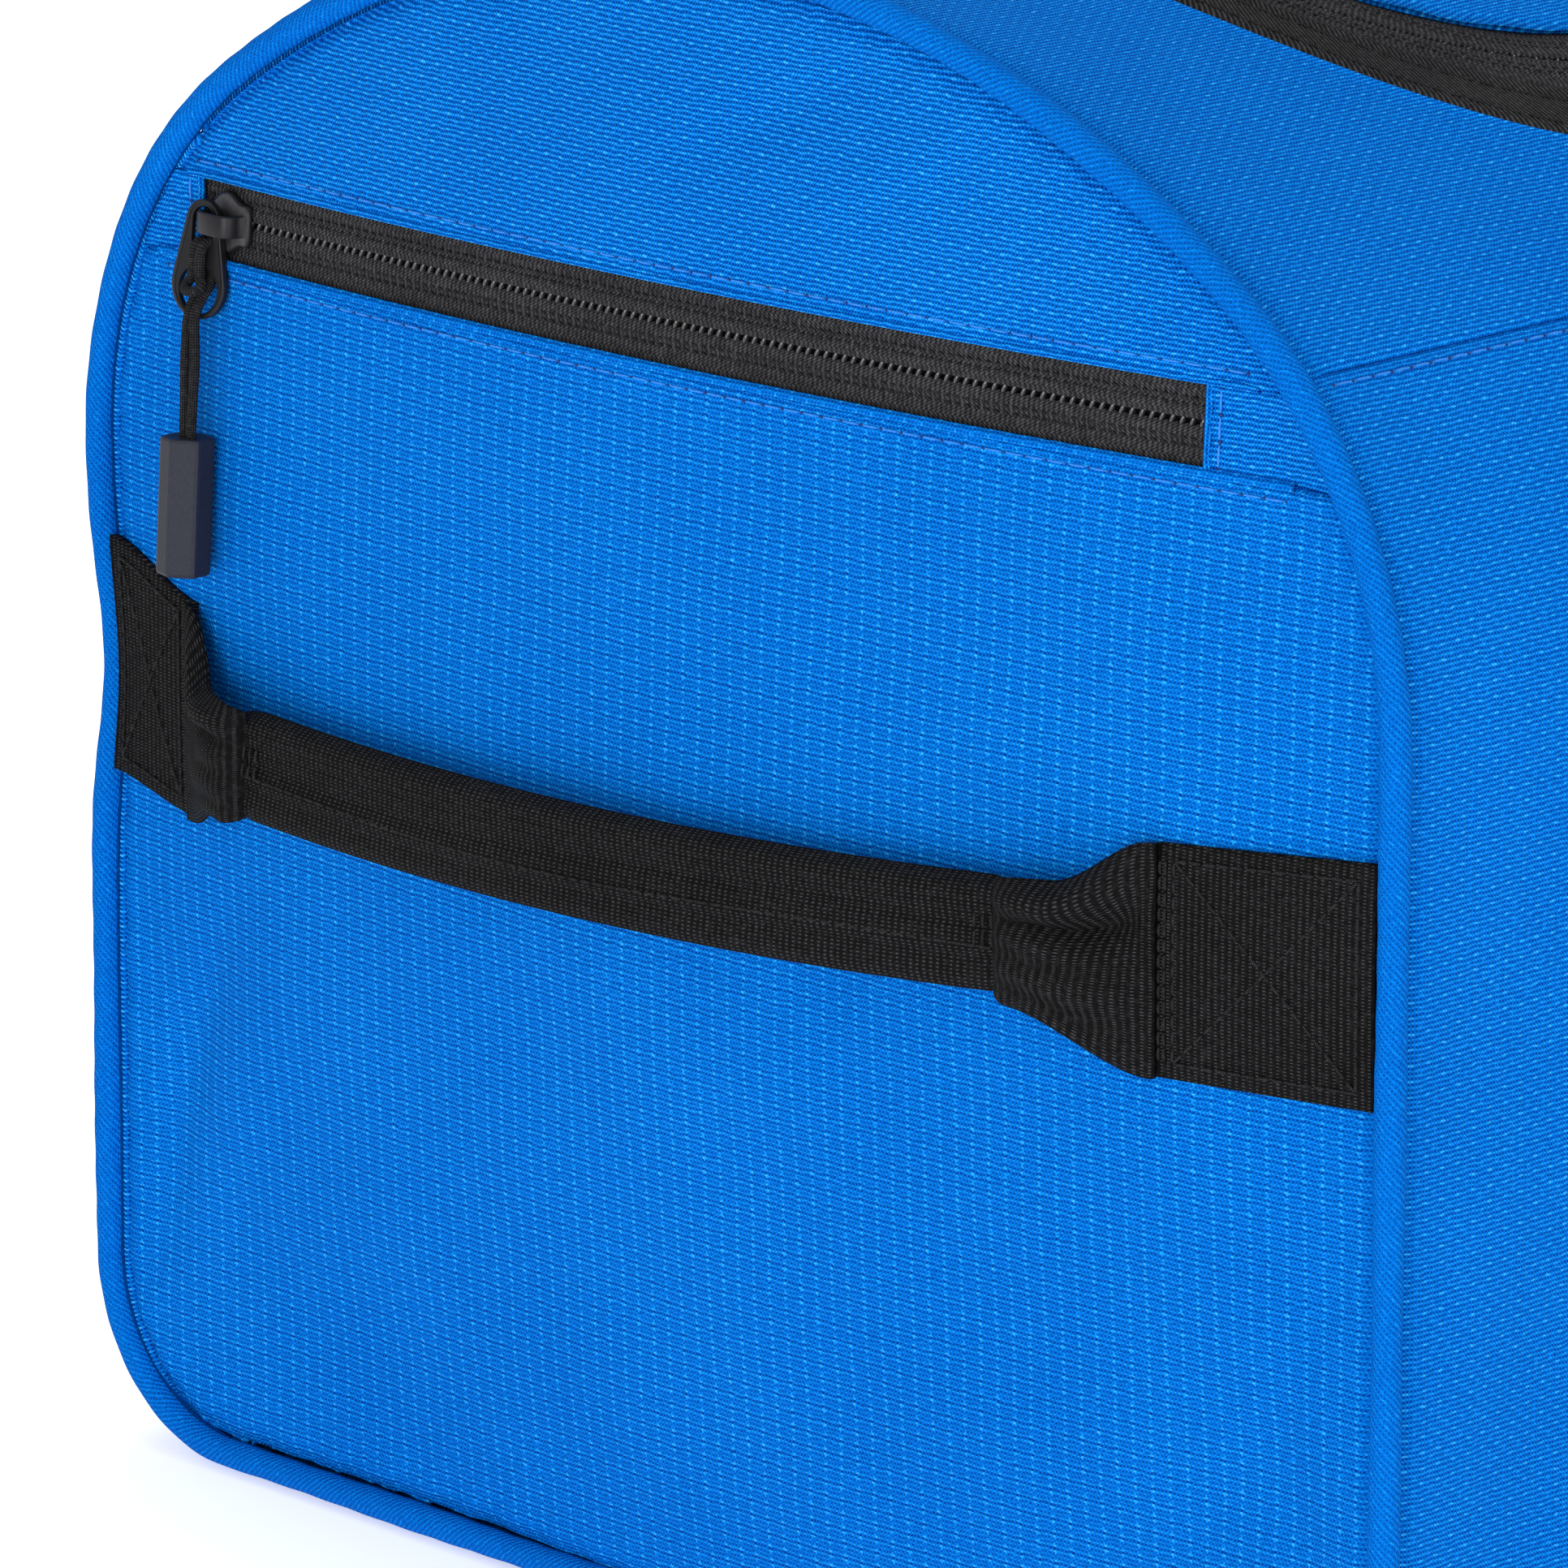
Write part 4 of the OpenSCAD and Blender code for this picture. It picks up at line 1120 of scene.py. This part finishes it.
def anchor_z(y, z):
    """Height of an anchor's point at z from its middle. Both narrow inwards; +Y droops and -Y lies askew."""
    slack = np.asarray(y) > 0
    ease = share((ANCHOR_END - np.abs(y)) / np.where(slack, 33.6, 53.6))
    ease = np.where(slack, eased(ease), ease)
    shift = np.where(slack, -6.4 * ease, 2.5 - 3.9 * ease)
    return ANCHOR_Z + shift + z * np.where(slack, 1 - 0.085 * ease, 0.968 - 0.043 * ease)


def handle_anchor(inner, sign):
    """Points of a flat anchor between its step and the piping, and their uv."""
    y = as_row(inner + 2.6, ANCHOR_END, 26) * sign
    z = as_column(-WEBBING_HALF, WEBBING_HALF, 30)
    bulge = 0.35 * np.sqrt(np.maximum(np.cos(z / WEBBING_HALF * np.pi / 2), 0))
    y2, z2 = np.broadcast_arrays(y, anchor_z(y, z))
    return pinch(on_end(y2, z2, 1.6 + bulge + 0 * y)), grid(y2, z2)


def gathered_step(inner, sign, end):
    """Points of the webbing gathered from a flat anchor up to the folded middle's end, and their uv."""
    t, w = as_column(0, 1, 26), as_row(-1, 1, 40)
    ease = eased(t)
    start_y = sign * (inner + 3)
    y = start_y + (end[1] - start_y) * t + 0 * w
    high = eased(share(t / (0.5 if sign > 0 else 0.6)))
    low = eased(share(t / (0.7 if sign > 0 else 0.85)))
    close = share((t - 0.86) / 0.14) ** 2
    top_z = anchor_z(start_y, WEBBING_HALF) * (1 - high) + (end[2] + 11.8 - 0.9 * close) * high
    low_z = anchor_z(start_y, -WEBBING_HALF) * (1 - low) + (end[2] - 12.0 + 0.9 * close) * low
    z = (top_z + low_z) / 2 + w * (top_z - low_z) / 2
    base = dome(y, z, 2.0)
    belly = np.sin(np.pi * t)
    roll = 3.2 * belly * np.sqrt(np.maximum(1 - w**2, 0)) + 2.2 * belly * bell(w - 0.74, 0.2)
    dimple = 6.0 * np.sin(np.pi * t**0.75) ** 2 * bell(w - 0.25 - 0.15 * t, 0.22)
    crease = 0.7 * belly * np.cos(w * np.pi * 3.6 + 0.6 + 1.5 * t)
    x = base + (end[0] - 3.1 + 2.0 * close - base) * ease - roll + dimple + crease
    p = grid(x, y, z)
    return p + (pinch(p) - p) * (1 - ease[..., None]), grid(y, w * WEBBING_HALF)


def fold_section(s, t):
    """Section of the folded middle at lengths s and shares t along it, and the height of its front edge."""
    h = as_row(-11.4, 11.2, 40)
    ledge = -4.6 + 0.7 * np.sin(s / 29)
    face = 1.55 + 0.8 / (1 + np.exp(-(h - ledge) / 0.22)) + 0.9 * bell(h - 7.2, 3.4)
    face = face + 0.17 * np.sin(h * 2.9 + 1.3 * np.sin(s / 31)) * bell(h - 5, 6)
    face = face - 0.5 * bell(h - 1.0 - 1.6 * np.sin(s / 37), 1.2) + 0.25 * np.sin(s / 19 + h / 6)
    face = face * np.clip(1.06 - np.abs((h + 0.1) / 11.3) ** 9, 0.15, 1)
    sink = share((np.abs(t) - 0.93) / 0.07)
    back = np.array([[-1.4, 10.8], [-2.0, 9.5], [-2.1, 4], [-2.1, -3], [-2.0, -10.2], [-1.3, -11.2]])
    back = np.broadcast_to(back, (len(s), *back.shape))
    section = np.concatenate([grid(face - 1.9 * sink**1.5, h), back], 1)
    section[..., 1] *= 1 - 0.12 * sink
    return section, ledge


def folded_middle(prefix, k, body):
    """The middle: webbing folded in half, its fold below and its two edges above."""
    t = np.linspace(-1, 1, 110)
    path = strap_line(t)
    across, up = frames(path, np.array([0.16, 0.0, 1.0]))
    way = np.sign(-across[0, 0])
    out = across * way
    section, ledge = fold_section(run(path)[:, None], t[:, None])
    points, faces, uv = sweep_points(path, across, up, (section * [way, 1])[:, :: int(way)])
    build(f"{prefix}_handle_fold", points * k, faces, "webbing", body, [f"{prefix}_handle_strap"], uv)
    seam = [(path + out * 2.45 + up * (ledge + 1.6))[3:-3] * k]
    for i in (3, 4, 5, -6, -5, -4):
        low, high = path[i] + out[i] * 2.6 - up[i] * 3, path[i] + out[i] * 2.9 + up[i] * 4
        seam.append(np.linspace(low, high, 6) * k)
    stitches(f"{prefix}_fold_stitches", seam, lambda p: (-k[0], 0, 0), "thread", body, 3.6, radius=0.36)


def end_handle(prefix, far):
    k = FAR if far else np.ones(3)
    strap_body = f"{prefix}_handle"
    rows, tacks = [], []
    for word, sign in (("a", 1), ("b", -1)):
        inner = SHIFT * sign + FOLD_HALF + 23
        p, uv = handle_anchor(inner, sign)
        nodes = [f"{prefix}_handle_anchors"] if word == "a" else ()
        panel(f"{prefix}_anchor_{word}", p * k, 1.7, "webbing", "bag", nodes, uv, flip=sign < 0)
        end = strap_line(np.array(sign * 0.955))
        p, uv = gathered_step(inner, sign, end)
        start = np.array([-HALF - 8, sign * (inner + 0.5), ANCHOR_Z]) * k * MM
        stop = np.array([end[0], sign * (inner - 20), end[2]]) * k * MM
        panel(f"{prefix}_step_{word}", p * k, 1.5, "webbing", "bag", (), uv, flip=sign > 0,
              blend=(strap_body, tuple(start), tuple(stop)))
        rows += box_stitch(sign * (inner + 7), sign * 176, 21.5, 2.05)
        tacks += [box_stitch(sign * (inner + q), sign * 176, 21.5, 2.1)[3] for q in (3.6, 4.9)]
    out = (lambda p: (np.asarray(end_out(p * FAR)) * FAR)) if far else end_out
    stitches(f"{prefix}_anchor_stitches", [r * k for r in rows], out, "thread", "bag", 3.4, radius=0.36)
    stitches(f"{prefix}_bartacks", [r * k for r in tacks], out, "thread", "bag", 3.0, 0.8, 0.38)
    folded_middle(prefix, k, strap_body)


end_handle("end", False)
end_handle("far", True)

# ---------- carry handles ----------

LEG_X, PIVOT_Z, LOOP_Z, LOOP_R = 110.0, 252.0, 150.0, 110.0


def carry_patches(prefix, sign):
    """The flat webbing that anchors both legs, sewn on by a box and a cross."""
    for word, side_x in (("a", -1), ("b", 1)):
        s = as_row(S_SHOULDER - RS * 0.345, S_SHOULDER + ZS - 175.0, 34)
        x = side_x * LEG_X + as_column(-WEBBING_HALF, WEBBING_HALF, 26)
        p = on_barrel(x, sign * s, 2.0)
        nodes = [f"{prefix}_handle_anchors"] if word == "a" else ()
        panel(f"{prefix}_patch_{word}", p, 1.6, "webbing", "bag", nodes, grid(x, s), flip=sign < 0)
    rows = []
    for side_x in (-1, 1):
        s0, s1 = S_SHOULDER - RS * 0.30, S_SHOULDER + ZS - 179.0
        lines = crossed_box(side_x * LEG_X - 21, side_x * LEG_X + 21, s0, s1, 14)
        rows += [on_barrel(q[:, 0], sign * q[:, 1], 2.15) for q in lines]
    stitches(f"{prefix}_patch_stitches", rows, barrel_out, "thread", "bag", 3.6, radius=0.36)


def carry_webbing(prefix, sign, body, y0):
    """Legs that taper from flat webbing to the folded grip, which hangs as a half round."""
    leg = np.linspace(PIVOT_Z, LOOP_Z, 34)[:-1]
    a = np.linspace(np.pi, TAU, 90)
    half_round = grid(LOOP_R * np.cos(a), LOOP_Z + LOOP_R * np.sin(a))
    line = np.vstack([grid(-LEG_X, leg), half_round, grid(LEG_X, leg[::-1])])
    path = np.c_[line[:, 0], np.full(len(line), y0 + sign * 1.5), line[:, 1]]
    t = eased(share((PIVOT_Z - path[:, 2]) / (PIVOT_Z - LOOP_Z)))
    half = WEBBING_HALF - 12.5 * t
    thick = 0.85 + 0.6 * t
    base = np.array([[1, -0.7], [1, 0.7], [0.96, 1], [0.5, 1], [0, 1], [-0.5, 1], [-0.96, 1]])
    base = np.vstack([base, -base])
    section = base[None] * grid(half, thick)[:, None]
    across, up = frames(path, np.array([0, float(sign), 0]))
    sweep(f"{prefix}_carry_webbing", path, across, up, section, "webbing", body, [f"{prefix}_carry_handle"])
    raised = path + up * (thick[:, None] + 0.05)
    seam = [(raised + across * side_y)[40:-40] for side_y in (9.0, -9.0)]
    stitches(f"{prefix}_carry_stitches", seam, lambda p: (0, sign, 0), "thread", body, 4.4, radius=0.36)


def leg_tops(prefix, sign, body, y0):
    """The bend of webbing from each patch over to the leg that hangs from it."""
    for word, side_x in (("a", -1), ("b", 1)):
        x = side_x * LEG_X + as_column(-24.6, 24.6, 14)
        z = as_row(PIVOT_Z - 8, PIVOT_Z + 5, 14)
        lift = share((z - PIVOT_Z + 8) / 13) ** 1.5
        deep = SY + np.sqrt(np.maximum((RS + 2.2) ** 2 - (z - ZS) ** 2, 0))
        y = sign * ((1 - lift) * (WIDE + 3.6) + lift * deep)
        start, stop = ((side_x * LEG_X * MM, y0 * MM, (PIVOT_Z + up_by) * MM) for up_by in (3, -4))
        panel(f"{prefix}_leg_top_{word}", grid(x, y, z), 1.4, "webbing", "bag", (), grid(x, z), flip=sign > 0,
              blend=(body, start, stop))


def carry_handle(prefix, sign):
    body, y0 = f"{prefix}_handle", sign * (WIDE + 2.5)
    carry_patches(prefix, sign)
    carry_webbing(prefix, sign, body, y0)
    leg_tops(prefix, sign, body, y0)


carry_handle("front", -1)
carry_handle("back", 1)

# ---------- seams ----------

y = np.linspace(-156, 159, 200)
topstitch("pocket_edge", [pinch(by_zip(y, ZIP_Z - GAP - 2.7 + 0 * y, 0.1))], end_out)
y = np.linspace(-146, 149, 200)
rows = [pinch(by_zip(y, ZIP_Z + GAP + 2.7 + 0 * y, 0.1))]
z = np.linspace(ZIP_Z - GAP + 1, ZIP_Z + GAP - 1, 12)
rows += [by_zip(WINDOW[1] + 3 + 0 * z, z, -0.3), by_zip(WINDOW[0] - 3 + 0 * z, z, -0.3)]
topstitch("end_top", rows, end_out)
x = np.linspace(-WALL_END + 6, WALL_END - 6, 120)
for word, sign in (("front", -1), ("back", 1)):
    topstitch(f"{word}_seam", [on_barrel(x, sign * (S_SEAM + 2.9), 0.05)], barrel_out)
rows = [top_point(mouth(d, HINGE_Y), 1.0) for d in (2.2, 9.0)]
stitches("binding_stitches", rows, barrel_out, "thread", "bag", pitch=4.2, radius=0.3)
for word, body, ends_y, insets in (
        ("lid", "lid", HINGE_Y - 3, (29.5, 30.9)), ("opening", "bag", HINGE_Y, (21.4, 22.8))):
    rows = [top_point(mouth(d, ends_y), -1.75) for d in insets]
    stitches(f"{word}_tape_stitches", rows, barrel_out, "thread", body, pitch=TOOTH, fill=0.5, radius=0.22)

# CAD nodes that still show inside
for node, look in (("base_board", "board"), ("end_seam_binding", "binding"), ("far_seam_binding", "binding"),
                   ("front_seam_binding", "binding"), ("back_seam_binding", "binding")):
    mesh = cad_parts[node].data
    mesh.materials.clear()
    mesh.materials.append(M[look])

# ---------- studio ----------

floor = bpy.data.meshes.new("floor")
FLOOR_HALF, FLOOR_Z = 30.0, -0.0008
floor_corners = [(x * FLOOR_HALF, y * FLOOR_HALF, FLOOR_Z) for x, y in ((-1, -1), (1, -1), (1, 1), (-1, 1))]
floor.from_pydata(floor_corners, [], [(0, 1, 2, 3)])
paper = Paint("paper", 0.9, Emission_Color=(1, 1, 1, 1), Emission_Strength=0.45)
paper.colour([(0.0, (0.93, 0.93, 0.93)), (1.0, (0.96, 0.96, 0.96))], paper.noise(3.0))
floor.materials.append(paper.mat)
ground = bpy.data.objects.new("floor", floor)
bpy.context.scene.collection.objects.link(ground)
world = bpy.data.worlds.new("studio")
bpy.context.scene.world = world
world.use_nodes = True
world.node_tree.nodes["Background"].inputs[0].default_value = (1, 1, 1, 1)
world.node_tree.nodes["Background"].inputs[1].default_value = 0.58
bpy.context.scene.view_settings.view_transform = "Standard"


def lamp(name, at, size, power):
    data = bpy.data.lights.new(name, "AREA")
    data.size, data.energy = size, power
    obj = bpy.data.objects.new(name, data)
    obj.location = at
    aim = Vector((-0.2, 0, 0.17)) - Vector(at)
    obj.rotation_euler = aim.to_track_quat("-Z", "Y").to_euler()
    bpy.context.scene.collection.objects.link(obj)


lamp("key", (-2.5, -1.1, 0.50), 1.3, 42)
lamp("fill", (-1.0, -2.8, 0.50), 1.3, 23)
lamp("above", (0.4, 0.3, 2.9), 1.8, 30)
